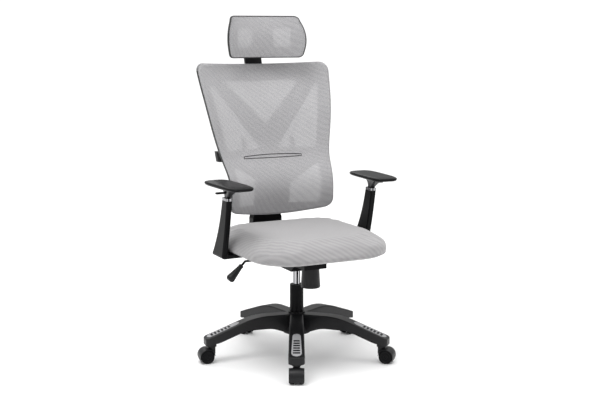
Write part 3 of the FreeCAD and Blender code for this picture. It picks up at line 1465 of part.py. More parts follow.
def stations(prefix, count):
    """Height, half width and side-edge depth of each section."""
    return [(number(f"{prefix}_z_{index}"), number(f"{prefix}_w_{index}"),
             number(f"{prefix}_y_{index}")) for index in range(1, count + 1)]


BACK = stations("back", 7)
HEAD = stations("head", 3)


def between(sections, z, column):
    """Interpolate one column of the sections at a height."""
    for lower, upper in zip(sections, sections[1:]):
        if z <= upper[0] or upper is sections[-1]:
            share = (z - lower[0]) / (upper[0] - lower[0])
            return lower[column] + share * (upper[column] - lower[column])


def arched_depth(sections, sag, x, z):
    """Depth of the arched surface at a point of the front view."""
    half_width = between(sections, z, 1)
    return between(sections, z, 2) + sag * (1 - (x / half_width) ** 2)


def arched_slab(sections, sag, offset, thickness):
    """A sheet of a thickness that follows the arched surface behind it by an offset."""
    wires = []
    overhang = 12
    for z, half_width, side_y in sections:
        half = half_width + overhang
        edge = side_y + sag * (1 - (half / half_width) ** 2)
        front = [Vector(-half, edge + offset, z), Vector(0, side_y + sag + offset, z),
                 Vector(half, edge + offset, z)]
        back = [point + Vector(0, thickness, 0) for point in front]
        wires.append(Part.Wire([
            Part.Arc(*front).toShape(),
            Part.makeLine(front[2], back[2]),
            Part.Arc(*reversed(back)).toShape(),
            Part.makeLine(back[0], front[0]),
        ]))
    return Part.makeLoft(wires, True, False)


def corner_arc(centre_x, centre_z, radius, start, end):
    """A quarter arc in the front view, between two angles in degrees."""
    points = []
    for angle in (start, (start + end) / 2, end):
        turn = math.radians(angle)
        points.append(Vector(centre_x + radius * math.cos(turn), 0,
                             centre_z + radius * math.sin(turn)))
    return Part.Arc(*points).toShape()


def front_prism(edge_list):
    """Extrude a closed front outline right through the chair."""
    reach = 1000
    wire = Part.Wire(Part.__sortEdges__(edge_list))
    wire.translate(Vector(0, -reach / 2, 0))
    return Part.Face(wire).extrude(Vector(0, reach, 0))


def symmetric_outline(sections, low, low_middle, high, high_middle, low_corner, high_corner):
    """Front outline with arched top and bottom, rounded corners and flowing sides."""
    low_z = low + low_corner
    high_z = high - high_corner
    low_x = between(sections, low_z, 1)
    high_x = between(sections, high_z, 1)
    side = [Vector(low_x, 0, low_z)]
    side += [Vector(half_width, 0, z) for z, half_width, side_y in sections
             if low_z + 5 < z < high_z - 5]
    side.append(Vector(high_x, 0, high_z))
    right = Part.BSplineCurve()
    right.interpolate(side)
    left = Part.BSplineCurve()
    left.interpolate([Vector(-point.x, 0, point.z) for point in side])
    return [
        Part.Arc(Vector(-low_x + low_corner, 0, low), Vector(0, 0, low_middle),
                 Vector(low_x - low_corner, 0, low)).toShape(),
        corner_arc(low_x - low_corner, low_z, low_corner, -90, 0),
        right.toShape(),
        corner_arc(high_x - high_corner, high_z, high_corner, 0, 90),
        Part.Arc(Vector(high_x - high_corner, 0, high), Vector(0, 0, high_middle),
                 Vector(-high_x + high_corner, 0, high)).toShape(),
        corner_arc(-high_x + high_corner, high_z, high_corner, 90, 180),
        left.toShape(),
        corner_arc(-low_x + low_corner, low_z, low_corner, 180, 270),
    ]


def window(points, corner):
    """A see-through opening with rounded corners, given by its front view."""
    wire = Part.makePolygon([Vector(x, 0, z) for x, z in points + points[:1]])
    face = Part.Face(wire)
    rounded = face.makeOffset2D(-corner).makeOffset2D(corner)
    reach = 1000
    rounded.translate(Vector(0, -reach / 2, 0))
    return rounded.extrude(Vector(0, reach, 0))


def mirrored(points):
    return [(-x, z) for x, z in points]


def side_prism(points, half_width):
    """Extrude a side view, given as (depth, height), evenly about the middle."""
    wire = Part.makePolygon([Vector(-half_width, y, z) for y, z in points + points[:1]])
    return Part.Face(wire).extrude(Vector(2 * half_width, 0, 0))


def shaped(label, shape):
    """Keep a free-form sub-part."""
    item = document.addObject("Part::Feature", label)
    item.Shape = shape
    return keep(item, label)


def back_outline():
    return front_prism(symmetric_outline(
        BACK, number("back_bottom_corner_z"), number("back_bottom"),
        number("back_top_corner_z"), number("back_top"),
        number("back_bottom_corner"), number("back_top_corner")))


def make_back_mesh():
    sheet_solid = arched_slab(BACK, number("back_sag"), 0, number("mesh_thickness"))
    shaped("back_mesh", sheet_solid.common(back_outline()))


def frame_windows():
    rail = number("rail_width")
    corner = number("window_corner")

    def rail_x(z):
        return between(BACK, z, 1) - rail

    top_z = number("back_top") - number("top_band")
    band_z = number("lumbar_band_z")
    apex_z = number("side_window_top_z")
    low_top = number("low_window_top_z")
    low_z = number("back_bottom") + number("bottom_band")
    inner = number("low_window_inner_x")
    half_top = number("vee_top_half_width")
    shapes = [window([(-half_top, top_z), (half_top, top_z), (0, number("vee_bottom_z"))],
                     corner)]
    side = [(rail_x(apex_z), apex_z),
            (rail_x((apex_z + band_z) / 2), (apex_z + band_z) / 2),
            (rail_x(band_z), band_z),
            (number("side_window_inner_x"), band_z),
            (rail_x(apex_z) - 2 * corner, apex_z - corner)]
    low = [(rail_x(low_top), low_top),
           (rail_x(low_z), low_z + 6),
           (rail_x(low_z) - 12, low_z),
           (inner, low_z),
           (inner, number("low_window_inner_top_z"))]
    for points in (side, low):
        shapes.append(window(points, corner))
        shapes.append(window(mirrored(points), corner))
    return shapes


def rear_depth(slab, x, z):
    """Depth of a slab's rear face at a point of the front view."""
    reach = 1000
    ray = Part.makeLine(Vector(x, -reach, z), Vector(x, reach, z))
    return slab.common(ray).BoundBox.YMax


def lumbar_line(slab, x):
    """Depth of the lumbar band's front face at the bottom of its travel."""
    slope = math.tan(math.radians(number("lumbar_slope")))
    start = number("lumbar_z")
    climb = number("lumbar_height") + number("lumbar_travel")
    steps = 8
    return number("lumbar_clear") + max(
        rear_depth(slab, x, start + climb * step / steps) - slope * climb * step / steps
        for step in range(steps + 1))


def frame_offset():
    return number("mesh_thickness") + number("soft_gap")


def along_travel(face, height):
    """Extrude a plan face along the lumbar travel, up by a height."""
    slope = math.tan(math.radians(number("lumbar_slope")))
    return face.extrude(Vector(0, slope * height, height))


def lumbar_face(slab, half, offset, thickness):
    """Plan of the lumbar band, or of a layer in front of it."""
    front = [Vector(x, lumbar_line(slab, x) + offset, number("lumbar_z"))
             for x in (-half, 0, half)]
    back = [point + Vector(0, thickness, 0) for point in front]
    return Part.Face(Part.Wire([
        Part.Arc(*front).toShape(),
        Part.makeLine(front[2], back[2]),
        Part.Arc(*reversed(back)).toShape(),
        Part.makeLine(back[0], front[0]),
    ]))


def lumbar_guides(slab):
    """Two straight rails on the frame that the lumbar band slides on."""
    depth = number("guide_depth")
    layer = lumbar_face(slab, number("lumbar_half_width"),
                        -number("soft_gap") - depth, depth)
    start = number("guide_overrun")
    height = number("lumbar_height") + number("lumbar_travel") + 2 * start
    slope = math.tan(math.radians(number("lumbar_slope")))
    layer.translate(Vector(0, -slope * start, -start))
    rails = []
    for side in (-1, 1):
        strip = Part.makeBox(2 * number("guide_half_width"), 1000, 1000,
                             Vector(side * number("guide_x") - number("guide_half_width"),
                                    -500, number("lumbar_z") - 500))
        rails.append(along_travel(layer, height).common(strip))
    return rails


def post_line(z):
    """Depth of the headrest post's middle at a height."""
    slope = math.tan(math.radians(number("post_lean")))
    return number("post_y") + slope * (z - number("post_z"))


def post_guide():
    """Sleeve on the back frame and the slot through it for the headrest post."""
    low = number("sleeve_guide_bottom")
    high = number("sleeve_guide_top")
    lean = math.cos(math.radians(number("post_lean")))
    slot = (number("post_thickness") / 2 + number("slider_fit")) / lean
    wall = slot + number("sleeve_guide_wall") / lean
    inside = frame_offset() + number("back_frame_thickness") / 2
    sag = number("back_sag")
    half = number("post_half_width") + number("slider_fit")
    block = side_prism([(post_line(low) + wall, low), (post_line(high) + wall, high),
                        (arched_depth(BACK, sag, 0, high) + inside, high),
                        (arched_depth(BACK, sag, 0, low) + inside, low)],
                       half + number("sleeve_guide_wall"))
    slack = 60
    gap = side_prism([(post_line(low - slack) - slot, low - slack),
                      (post_line(low - slack) + slot, low - slack),
                      (post_line(high + slack) + slot, high + slack),
                      (post_line(high + slack) - slot, high + slack)], half)
    return block, gap


def spine_block():
    """Mounting block between the frame's spine and the back bracket."""
    low = number("spine_block_z")
    high = number("bracket_top_z")
    inside = frame_offset() + number("back_frame_thickness") / 2
    sag = number("back_sag")
    block = side_prism([(number(bracket_face(low)), low), (number(bracket_face(high)), high),
                        (arched_depth(BACK, sag, 0, high) + inside, high),
                        (arched_depth(BACK, sag, 0, low) + inside, low)],
                       number("bracket_neck_half_width") - 4)
    radius = number("bolt_radius") + number("press_fit")
    depth = number("bolt_grip") + 1
    for x, z in SPINE_BOLTS:
        face = number(bracket_face(z)) + 1
        start = Vector(number(x), face, number(z))
        block = block.cut(Part.makeCylinder(radius, depth + 1, start, Vector(0, -1, 0)))
    return block


def frame_slab():
    return arched_slab(BACK, number("back_sag"), frame_offset(),
                       number("back_frame_thickness"))


def make_back_frame():
    slab = frame_slab()
    frame = slab.common(back_outline())
    for shape in frame_windows():
        frame = frame.cut(shape)
    guide, slot = post_guide()
    frame = frame.fuse([guide, spine_block()] + lumbar_guides(slab)).cut(slot)
    shaped("back_frame", frame.removeSplitter())


def make_lumbar_support():
    low = number("lumbar_z")
    half = number("lumbar_half_width")
    height = number("lumbar_height")
    slab = frame_slab()
    solid = along_travel(lumbar_face(slab, half, 0, number("lumbar_thickness")), height)
    start = lumbar_line(slab, half)
    inner = half - number("lumbar_grip_overlap")
    outer = number("lumbar_grip_outer")
    rear = start + number("lumbar_grip_depth")
    radius = number("lumbar_grip_radius")
    for side in (-1, 1):
        corners = [Vector(side * inner, start, low), Vector(side * outer, start, low),
                   Vector(side * outer, rear, low), Vector(side * inner, rear, low)]
        face = Part.Face(Part.makePolygon(corners + corners[:1]))
        rounded = face.makeOffset2D(-radius).makeOffset2D(radius)
        solid = solid.fuse(along_travel(Part.Face(rounded.Wires), height))
    shaped("lumbar_support", solid.removeSplitter())


# ---------------------------------------------------------------- headrest

def head_outline():
    low = number("head_bottom")
    high = number("head_top")
    corner = number("head_corner")
    return front_prism(symmetric_outline(HEAD, low, low - 0.5, high, high + 0.5,
                                         corner, corner))


def make_headrest_mesh():
    slab = arched_slab(HEAD, number("head_sag"), 0, number("head_mesh_thickness"))
    shaped("headrest_mesh", slab.common(head_outline()))


def make_headrest_frame():
    offset = number("head_mesh_thickness") + number("soft_gap")
    thickness = number("head_frame_thickness")
    frame = arched_slab(HEAD, number("head_sag"), offset, thickness).common(head_outline())
    inner = number("head_window_inner")
    outer = number("head_window_outer")
    low = number("head_window_bottom")
    high = number("head_window_top")
    points = [(inner, low), (outer, low), (outer, high), (inner, high)]
    for side in (points, mirrored(points)):
        frame = frame.cut(window(side, number("window_corner")))
    pivot_y = number("pivot_y")
    pivot_z = number("pivot_z")
    reach = number("post_knuckle_radius")
    hole = number("pivot_radius") + number("press_fit")
    depth = arched_depth(HEAD, number("head_sag"), 0, pivot_z) + offset + thickness / 2
    inner_face = number("post_knuckle_half_width") + number("lug_gap")
    for side in (-1, 1):
        left = min(side * inner_face, side * (inner_face + number("lug_thickness")))
        lug = Part.makeBox(number("lug_thickness"), pivot_y - depth, 2 * reach,
                           Vector(left, depth, pivot_z - reach))
        tip = Part.makeCylinder(reach, number("lug_thickness"),
                                Vector(left, pivot_y, pivot_z), Vector(1, 0, 0))
        frame = frame.fuse(lug.fuse(tip))
    bore = Part.makeCylinder(hole, 200, Vector(-100, pivot_y, pivot_z), Vector(1, 0, 0))
    shaped("headrest_frame", frame.cut(bore).removeSplitter())


def make_headrest_post():
    body = new_body("headrest_post")
    side = new_sketch(body, "YZ_Plane")
    half = "post_thickness / 2"
    low = ("post_y - post_length * sin(post_lean)", "post_z - post_length * cos(post_lean)")
    bend_y = "post_y + tan(post_lean) * (post_bend_z - post_z)"
    slant = f"{half} / cos(post_lean)"
    outline(side, [
        (f"{low[0]} - {half} * cos(post_lean)", f"{low[1]} + {half} * sin(post_lean)"),
        (f"{low[0]} + {half} * cos(post_lean)", f"{low[1]} - {half} * sin(post_lean)"),
        (f"{bend_y} + {slant} + 3 * tan(post_lean)", "post_bend_z + 3"),
        ("pivot_y + post_knuckle_radius * 0.7", "pivot_z + post_knuckle_radius * 0.7"),
        ("pivot_y - post_knuckle_radius * 0.7", "pivot_z - post_knuckle_radius * 0.7"),
        (f"{bend_y} - {slant} - 3 * tan(post_lean)", "post_bend_z - 3"),
    ])
    bar = extrude(body, side, "post_half_width * 2", middle=True)

    def bend(edge):
        middle = edge.CenterOfMass
        return across(edge) and abs(middle.z - number("post_bend_z")) < 8

    fillet(body, bar, "post_thickness * 1.2", bend)
    narrow = new_sketch(body, "XZ_Plane")
    for sign in ("", "-"):
        outline(narrow, [
            (f"{sign}post_half_width", "post_bend_z + 14"),
            (f"{sign}post_knuckle_half_width", "post_bend_z + 30"),
            (f"{sign}post_knuckle_half_width", "pivot_z + 30"),
            (f"{sign}(post_half_width * 2)", "pivot_z + 30"),
            (f"{sign}(post_half_width * 2)", "post_bend_z + 14"),
        ])
    extrude(body, narrow, "post_y * 4", cut=True, middle=True)
    knuckle = new_sketch(body, "YZ_Plane")
    circle(knuckle, "post_knuckle_radius", "pivot_y", "pivot_z")
    extrude(body, knuckle, "post_knuckle_half_width * 2", middle=True)
    bore = new_sketch(body, "YZ_Plane")
    circle(bore, "pivot_radius + running_fit", "pivot_y", "pivot_z")
    extrude(body, bore, "post_half_width * 4", cut=True, middle=True)
    keep(body, "headrest_post")
    pin = primitive("Cylinder", "headrest_pin", Radius="pivot_radius",
                    Height="(post_knuckle_half_width + lug_gap + lug_thickness) * 2")
    place(pin, ("-post_knuckle_half_width - lug_gap - lug_thickness", "pivot_y", "pivot_z"),
          (0, 1, 0), "90")
    keep(pin, "headrest_pin")


# ---------------------------------------------------------------- build and write

def make_chair():
    make_star_base()
    make_tread_inserts()
    make_caster_stems()
    make_gas_lift()
    for index in range(5):
        make_caster_housing(index)
        make_caster_axle(index)
        make_caster_wheel(index, "wheel_left", "-1")
        make_caster_wheel(index, "wheel_right", "1")
    make_mechanism_housing()
    make_tilt_plate()
    make_tension_set()
    make_lever()
    make_seat()
    make_frame_bolts()
    make_back_bracket()
    for name, side, sign in (("left", "1", ""), ("right", "-1", "-")):
        make_arm_bracket(name, side, sign)
        make_arm_post(name, side)
        make_arm_pad(name, side)
        make_arm_release_lever(name, side)
    make_arm_collars()
    make_back_mesh()
    make_back_frame()
    make_lumbar_support()
    make_headrest_post()
    make_headrest_frame()
    make_headrest_mesh()


def check_document():
    """Stop if an object failed or a sub-part has no valid solid."""
    document.recompute()
    for item in document.Objects:
        if {"Invalid", "Error"} & set(item.State):
            raise RuntimeError(f"{item.Name} failed: {item.State}")
    for node in nodes:
        shape = node.Shape
        if shape.isNull() or not shape.isValid() or not shape.Solids:
            raise RuntimeError(f"{node.Label} has no valid solid")
        print(f"{node.Label}: {len(shape.Solids)} solid(s), {shape.Volume / 1000:.1f} cm3")


make_chair()
check_document()
os.makedirs("parts", exist_ok=True)
for node in nodes:
    node.Shape.exportStep(f"parts/{node.Label}.step")
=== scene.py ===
"""Soft parts, trims, finishes and a studio for a mesh swivel chair."""

import math
import bmesh
import bpy
from mathutils import Matrix, Vector
from mathutils.bvhtree import BVHTree


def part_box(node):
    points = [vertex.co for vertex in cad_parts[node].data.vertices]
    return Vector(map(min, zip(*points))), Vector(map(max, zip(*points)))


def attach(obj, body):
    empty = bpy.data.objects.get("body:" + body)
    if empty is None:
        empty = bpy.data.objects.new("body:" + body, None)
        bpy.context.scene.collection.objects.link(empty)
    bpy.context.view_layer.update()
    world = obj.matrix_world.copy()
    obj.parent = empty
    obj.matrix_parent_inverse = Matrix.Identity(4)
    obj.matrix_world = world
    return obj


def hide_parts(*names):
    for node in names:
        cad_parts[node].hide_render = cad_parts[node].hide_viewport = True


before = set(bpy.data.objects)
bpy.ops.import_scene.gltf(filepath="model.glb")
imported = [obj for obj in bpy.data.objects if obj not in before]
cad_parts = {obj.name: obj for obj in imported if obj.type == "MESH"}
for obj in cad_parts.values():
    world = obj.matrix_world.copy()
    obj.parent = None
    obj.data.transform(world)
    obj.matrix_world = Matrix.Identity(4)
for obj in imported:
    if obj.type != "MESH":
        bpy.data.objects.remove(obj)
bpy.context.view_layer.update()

bl_info = {
    "name": "Mesh Chair Dressing",
    "version": (1, 0, 0),
    "blender": (4, 5, 0),
    "location": "3D View > Sidebar > Mesh Chair",
    "description": "Dresses a swivel chair's frame with its cushion, nets, pads, trims and finishes",
    "category": "Object",
}

SEAT_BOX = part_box("seat_cushion")
PAN_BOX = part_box("seat_pan")
BACK_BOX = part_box("back_mesh")
HEAD_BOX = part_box("headrest_mesh")
LUMBAR_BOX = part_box("lumbar_support")

MILLIMETRE = 0.001
FORWARD = Vector((0.0, -1.0, 0.0))


# ---------------------------------------------------------------- settings

class ChairFabricSettings(bpy.types.PropertyGroup):
    """Colours and weave of the soft parts."""

    net_colour: bpy.props.FloatVectorProperty(
        name="Net Colour", description="Thread of the back and headrest nets",
        subtype="COLOR", size=3, min=0.0, max=1.0, default=(0.41, 0.405, 0.415))
    seat_colour: bpy.props.FloatVectorProperty(
        name="Seat Colour", description="Cover of the seat cushion",
        subtype="COLOR", size=3, min=0.0, max=1.0, default=(0.325, 0.318, 0.323))
    net_pitch: bpy.props.FloatProperty(
        name="Net Pitch", description="Distance between the threads of the nets",
        subtype="DISTANCE", unit="LENGTH", min=0.001, max=0.01, default=0.0028)
    net_thickness: bpy.props.FloatProperty(
        name="Net Thickness", description="Thickness of the nets",
        subtype="DISTANCE", unit="LENGTH", min=0.0005, max=0.0025, default=0.0016)
    seat_pitch: bpy.props.FloatProperty(
        name="Seat Weave Pitch", description="Distance between the ribs of the seat cover",
        subtype="DISTANCE", unit="LENGTH", min=0.001, max=0.01, default=0.0042)


class ChairTrimSettings(bpy.types.PropertyGroup):
    """Sizes of the edge trims and seams."""

    welt_radius: bpy.props.FloatProperty(
        name="Welt Radius", description="Fabric welt around the seat",
        subtype="DISTANCE", unit="LENGTH", min=0.0005, max=0.005, default=0.0024)
    piping_radius: bpy.props.FloatProperty(
        name="Piping Radius", description="Black piping around the headrest",
        subtype="DISTANCE", unit="LENGTH", min=0.0005, max=0.004, default=0.0016)
    seam_radius: bpy.props.FloatProperty(
        name="Lumbar Seam Radius", description="Dark cord of the lens-shaped lumbar seam",
        subtype="DISTANCE", unit="LENGTH", min=0.0003, max=0.003, default=0.0013)
    seam_half_length: bpy.props.FloatProperty(
        name="Lumbar Seam Half Length", description="Half of the lumbar seam's length",
        subtype="DISTANCE", unit="LENGTH", min=0.05, max=0.2, default=0.118)
    seam_half_height: bpy.props.FloatProperty(
        name="Lumbar Seam Half Height", description="Half of the lumbar seam's height",
        subtype="DISTANCE", unit="LENGTH", min=0.002, max=0.02, default=0.006)


class ChairPaddingSettings(bpy.types.PropertyGroup):
    """How the cushion and the arm pads are filled."""

    cushion_swell: bpy.props.FloatProperty(
        name="Cushion Swell", description="Most that a point of the cushion moves out",
        subtype="DISTANCE", unit="LENGTH", min=0.0, max=0.03, default=0.010)
    cushion_voxel: bpy.props.FloatProperty(
        name="Cushion Grid", description="Size of the cushion's simulated faces",
        subtype="DISTANCE", unit="LENGTH", min=0.004, max=0.02, default=0.007)
    pad_crown: bpy.props.FloatProperty(
        name="Arm Pad Crown", description="Height of the arm pad's rounded top",
        subtype="DISTANCE", unit="LENGTH", min=0.0, max=0.01, default=0.003)
    pad_toe_in: bpy.props.FloatProperty(
        name="Arm Pad Toe-in", description="Turn of an arm pad's front towards the middle",
        subtype="ANGLE", unit="ROTATION", default=math.radians(3.0))


class ChairStudioSettings(bpy.types.PropertyGroup):
    """Camera and backdrop."""

    camera_azimuth: bpy.props.FloatProperty(
        name="Camera Azimuth", description="Turn of the camera about the chair",
        subtype="ANGLE", unit="ROTATION", default=math.radians(-26.27))
    camera_pitch: bpy.props.FloatProperty(
        name="Camera Pitch", description="How far the camera looks down",
        subtype="ANGLE", unit="ROTATION", default=math.radians(9.01))
    camera_distance: bpy.props.FloatProperty(
        name="Camera Distance", description="Distance from the gas lift, along the floor",
        subtype="DISTANCE", unit="LENGTH", min=1.0, max=10.0, default=3.825)
    camera_height: bpy.props.FloatProperty(
        name="Camera Height", description="Height of the camera",
        subtype="DISTANCE", unit="LENGTH", min=0.1, max=5.0, default=1.180)
    camera_lens: bpy.props.FloatProperty(
        name="Camera Lens", description="Focal length",
        subtype="DISTANCE_CAMERA", unit="CAMERA", min=20.0, max=200.0, default=64.44)
    backdrop_colour: bpy.props.FloatVectorProperty(
        name="Backdrop Colour", description="Floor and wall of the studio",
        subtype="COLOR", size=3, min=0.0, max=1.0, default=(0.93, 0.93, 0.93))


# ---------------------------------------------------------------- shader groups

def add_node(tree, kind, **inputs):
    """Add a node and set its inputs by name; spaces are written as underscores."""
    node = tree.nodes.new(kind)
    for name, value in inputs.items():
        node.inputs[name.replace("_", " ")].default_value = value
    return node


def math_node(tree, operation, first, second=None, third=None):
    """Add a Math node; each operand is a socket or a number."""
    node = tree.nodes.new("ShaderNodeMath")
    node.operation = operation
    for socket, operand in zip(node.inputs, (first, second, third)):
        if isinstance(operand, bpy.types.NodeSocket):
            tree.links.new(operand, socket)
        elif operand is not None:
            socket.default_value = operand
    return node.outputs[0]


def new_group(name, inputs, outputs):
    """Make a shader node group; inputs map names to defaults, outputs names to types."""
    group = bpy.data.node_groups.new(name, "ShaderNodeTree")
    for label, default in inputs.items():
        kind = "NodeSocketColor" if hasattr(default, "__len__") else "NodeSocketFloat"
        socket = group.interface.new_socket(label, in_out="INPUT", socket_type=kind)
        socket.default_value = default
    for label, kind in outputs.items():
        group.interface.new_socket(label, in_out="OUTPUT", socket_type=kind)
    entry = group.nodes.new("NodeGroupInput")
    result = group.nodes.new("NodeGroupOutput")
    return group, entry, result


def grain_group():
    """Moulded grain: small pits, and a broad unevenness of tone."""
    group, entry, result = new_group(
        "Moulded Grain",
        {"Colour": (0.02, 0.02, 0.02, 1.0), "Pit Scale": 900.0, "Tone Change": 0.12},
        {"Colour": "NodeSocketColor", "Height": "NodeSocketFloat",
         "Roughness Change": "NodeSocketFloat"})
    links = group.links
    position = group.nodes.new("ShaderNodeTexCoord").outputs["Object"]
    pits = add_node(group, "ShaderNodeTexNoise", Detail=3.0, Roughness=0.6)
    links.new(position, pits.inputs["Vector"])
    links.new(entry.outputs["Pit Scale"], pits.inputs["Scale"])
    broad = add_node(group, "ShaderNodeTexNoise", Scale=9.0, Detail=4.0)
    links.new(position, broad.inputs["Vector"])
    centred = math_node(group, "SUBTRACT", broad.outputs["Fac"], 0.5)
    change = math_node(group, "MULTIPLY", centred, entry.outputs["Tone Change"])
    tone = math_node(group, "ADD", math_node(group, "MULTIPLY", change, 4.0), 1.0)
    scaled = add_node(group, "ShaderNodeMix")
    scaled.data_type = "RGBA"
    scaled.blend_type = "MULTIPLY"
    scaled.inputs["Factor"].default_value = 1.0
    links.new(entry.outputs["Colour"], scaled.inputs[6])
    links.new(tone, scaled.inputs[7])
    links.new(scaled.outputs[2], result.inputs["Colour"])
    links.new(pits.outputs["Fac"], result.inputs["Height"])
    links.new(change, result.inputs["Roughness Change"])
    return group


def edge_wear_group():
    """Rounded edges, and a mask of the light scuffs along them."""
    group, entry, result = new_group(
        "Edge Wear", {"Amount": 0.3, "Break Up": 60.0, "Edge Radius": 0.0015},
        {"Mask": "NodeSocketFloat", "Normal": "NodeSocketVector"})
    links = group.links
    rounded = group.nodes.new("ShaderNodeBevel")
    rounded.samples = 4
    links.new(entry.outputs["Edge Radius"], rounded.inputs["Radius"])
    geometry = group.nodes.new("ShaderNodeNewGeometry")
    turned = group.nodes.new("ShaderNodeVectorMath")
    turned.operation = "DOT_PRODUCT"
    links.new(rounded.outputs["Normal"], turned.inputs[0])
    links.new(geometry.outputs["Normal"], turned.inputs[1])
    sharp = add_node(group, "ShaderNodeMapRange", From_Min=0.985, From_Max=0.85)
    links.new(turned.outputs["Value"], sharp.inputs["Value"])
    noise = add_node(group, "ShaderNodeTexNoise", Detail=5.0)
    links.new(group.nodes.new("ShaderNodeTexCoord").outputs["Object"],
              noise.inputs["Vector"])
    links.new(entry.outputs["Break Up"], noise.inputs["Scale"])
    broken = math_node(group, "MULTIPLY", sharp.outputs["Result"], noise.outputs["Fac"])
    links.new(math_node(group, "MULTIPLY", broken, entry.outputs["Amount"]),
              result.inputs["Mask"])
    links.new(rounded.outputs["Normal"], result.inputs["Normal"])
    return group


def painted_reflection_group():
    """Painted reflection: dark bands painted into the colour by the way a surface faces, in place of
    a room mirrored in bright plating.
    """
    group, entry, result = new_group(
        "Painted Reflection Bands", {"Colour": (0.6, 0.6, 0.6, 1.0), "Width": 2.0},
        {"Colour": "NodeSocketColor"})
    links = group.links
    facing = group.nodes.new("ShaderNodeVectorMath")
    facing.operation = "MULTIPLY"
    facing.inputs[1].default_value = (1.0, 1.0, 0.15)
    links.new(group.nodes.new("ShaderNodeNewGeometry").outputs["Normal"],
              facing.inputs[0])
    noise = add_node(group, "ShaderNodeTexNoise", Detail=1.0)
    links.new(facing.outputs["Vector"], noise.inputs["Vector"])
    links.new(entry.outputs["Width"], noise.inputs["Scale"])
    # painted reflection: on surfaces facing some ways, the colour turns to a near-black painted band
    dark = add_node(group, "ShaderNodeMapRange", From_Min=0.56, From_Max=0.44)
    links.new(noise.outputs["Fac"], dark.inputs["Value"])
    mix = group.nodes.new("ShaderNodeMix")
    mix.data_type = "RGBA"
    links.new(dark.outputs["Result"], mix.inputs[0])
    links.new(entry.outputs["Colour"], mix.inputs[6])
    mix.inputs[7].default_value = (0.03, 0.03, 0.032, 1.0)
    links.new(mix.outputs[2], result.inputs["Colour"])
    return group


def stripe(group, position, pitch, direction):
    """A wave from 0 to 1 that repeats along a direction at a pitch in metres."""
    along = group.nodes.new("ShaderNodeVectorMath")
    along.operation = "DOT_PRODUCT"
    group.links.new(position, along.inputs[0])
    along.inputs[1].default_value = direction
    turns = math_node(group, "DIVIDE", along.outputs["Value"], pitch)
    wave = math_node(group, "SINE", math_node(group, "MULTIPLY", turns, 2 * math.pi))
    return math_node(group, "MULTIPLY_ADD", wave, 0.5, 0.5)


def weave_group():
    """Crossing diagonal threads with slow, wavy shading over them."""
    group, entry, result = new_group(
        "Diagonal Weave",
        {"Colour": (0.5, 0.5, 0.5, 1.0), "Pitch": 0.003, "Wave Strength": 0.1},
        {"Colour": "NodeSocketColor", "Height": "NodeSocketFloat",
         "Thread": "NodeSocketFloat"})
    links = group.links
    position = group.nodes.new("ShaderNodeTexCoord").outputs["Object"]
    warp = add_node(group, "ShaderNodeTexNoise", Scale=5.0, Detail=2.0)
    links.new(position, warp.inputs["Vector"])
    pitch = entry.outputs["Pitch"]
    rising = stripe(group, position, pitch, (0.80, 0.35, 0.60))
    falling = stripe(group, position, pitch, (-0.80, 0.35, 0.60))
    thread = math_node(group, "MAXIMUM", rising, falling)
    slow = add_node(group, "ShaderNodeTexWave", Scale=24.0, Distortion=5.0, Detail=1.0)
    slow.bands_direction = "DIAGONAL"
    slow.inputs["Detail Scale"].default_value = 0.35
    links.new(position, slow.inputs["Vector"])
    shade = math_node(group, "SUBTRACT", slow.outputs["Fac"], 0.5)
    shade = math_node(group, "MULTIPLY", shade, entry.outputs["Wave Strength"])
    ribs = math_node(group, "MULTIPLY_ADD", thread, 0.16, 0.86)
    tone = math_node(group, "ADD", ribs, shade)
    tone = math_node(group, "ADD", tone,
                     math_node(group, "MULTIPLY_ADD", warp.outputs["Fac"], 0.10, -0.05))
    scaled = add_node(group, "ShaderNodeMix")
    scaled.data_type = "RGBA"
    scaled.blend_type = "MULTIPLY"
    scaled.inputs["Factor"].default_value = 1.0
    links.new(entry.outputs["Colour"], scaled.inputs[6])
    links.new(tone, scaled.inputs[7])
    links.new(scaled.outputs[2], result.inputs["Colour"])
    links.new(thread, result.inputs["Height"])
    links.new(thread, result.inputs["Thread"])
    return group


# ---------------------------------------------------------------- materials

def shared_group(name, make):
    return bpy.data.node_groups.get(name) or make()


def place_group(tree, group, **values):
    node = tree.nodes.new("ShaderNodeGroup")
    node.node_tree = group
    for name, value in values.items():
        node.inputs[name.replace("_", " ")].default_value = value
    return node


def new_material(name, roughness, metallic=0.0, **sockets):
    """A material whose even values sit on its own Principled shader."""
    material = bpy.data.materials.new(name)
    material.use_nodes = True
    shader = material.node_tree.nodes["Principled BSDF"]
    shader.inputs["Roughness"].default_value = roughness
    shader.inputs["Metallic"].default_value = metallic
    for label, value in sockets.items():
        shader.inputs[label.replace("_", " ")].default_value = value
    return material, material.node_tree, shader


def add_bump(tree, shader, height, strength, distance, normal=None):
    bump = tree.nodes.new("ShaderNodeBump")
    if normal:
        tree.links.new(normal, bump.inputs["Normal"])
    bump.inputs["Strength"].default_value = strength
    bump.inputs["Distance"].default_value = distance
    tree.links.new(height, bump.inputs["Height"])
    tree.links.new(bump.outputs["Normal"], shader.inputs["Normal"])


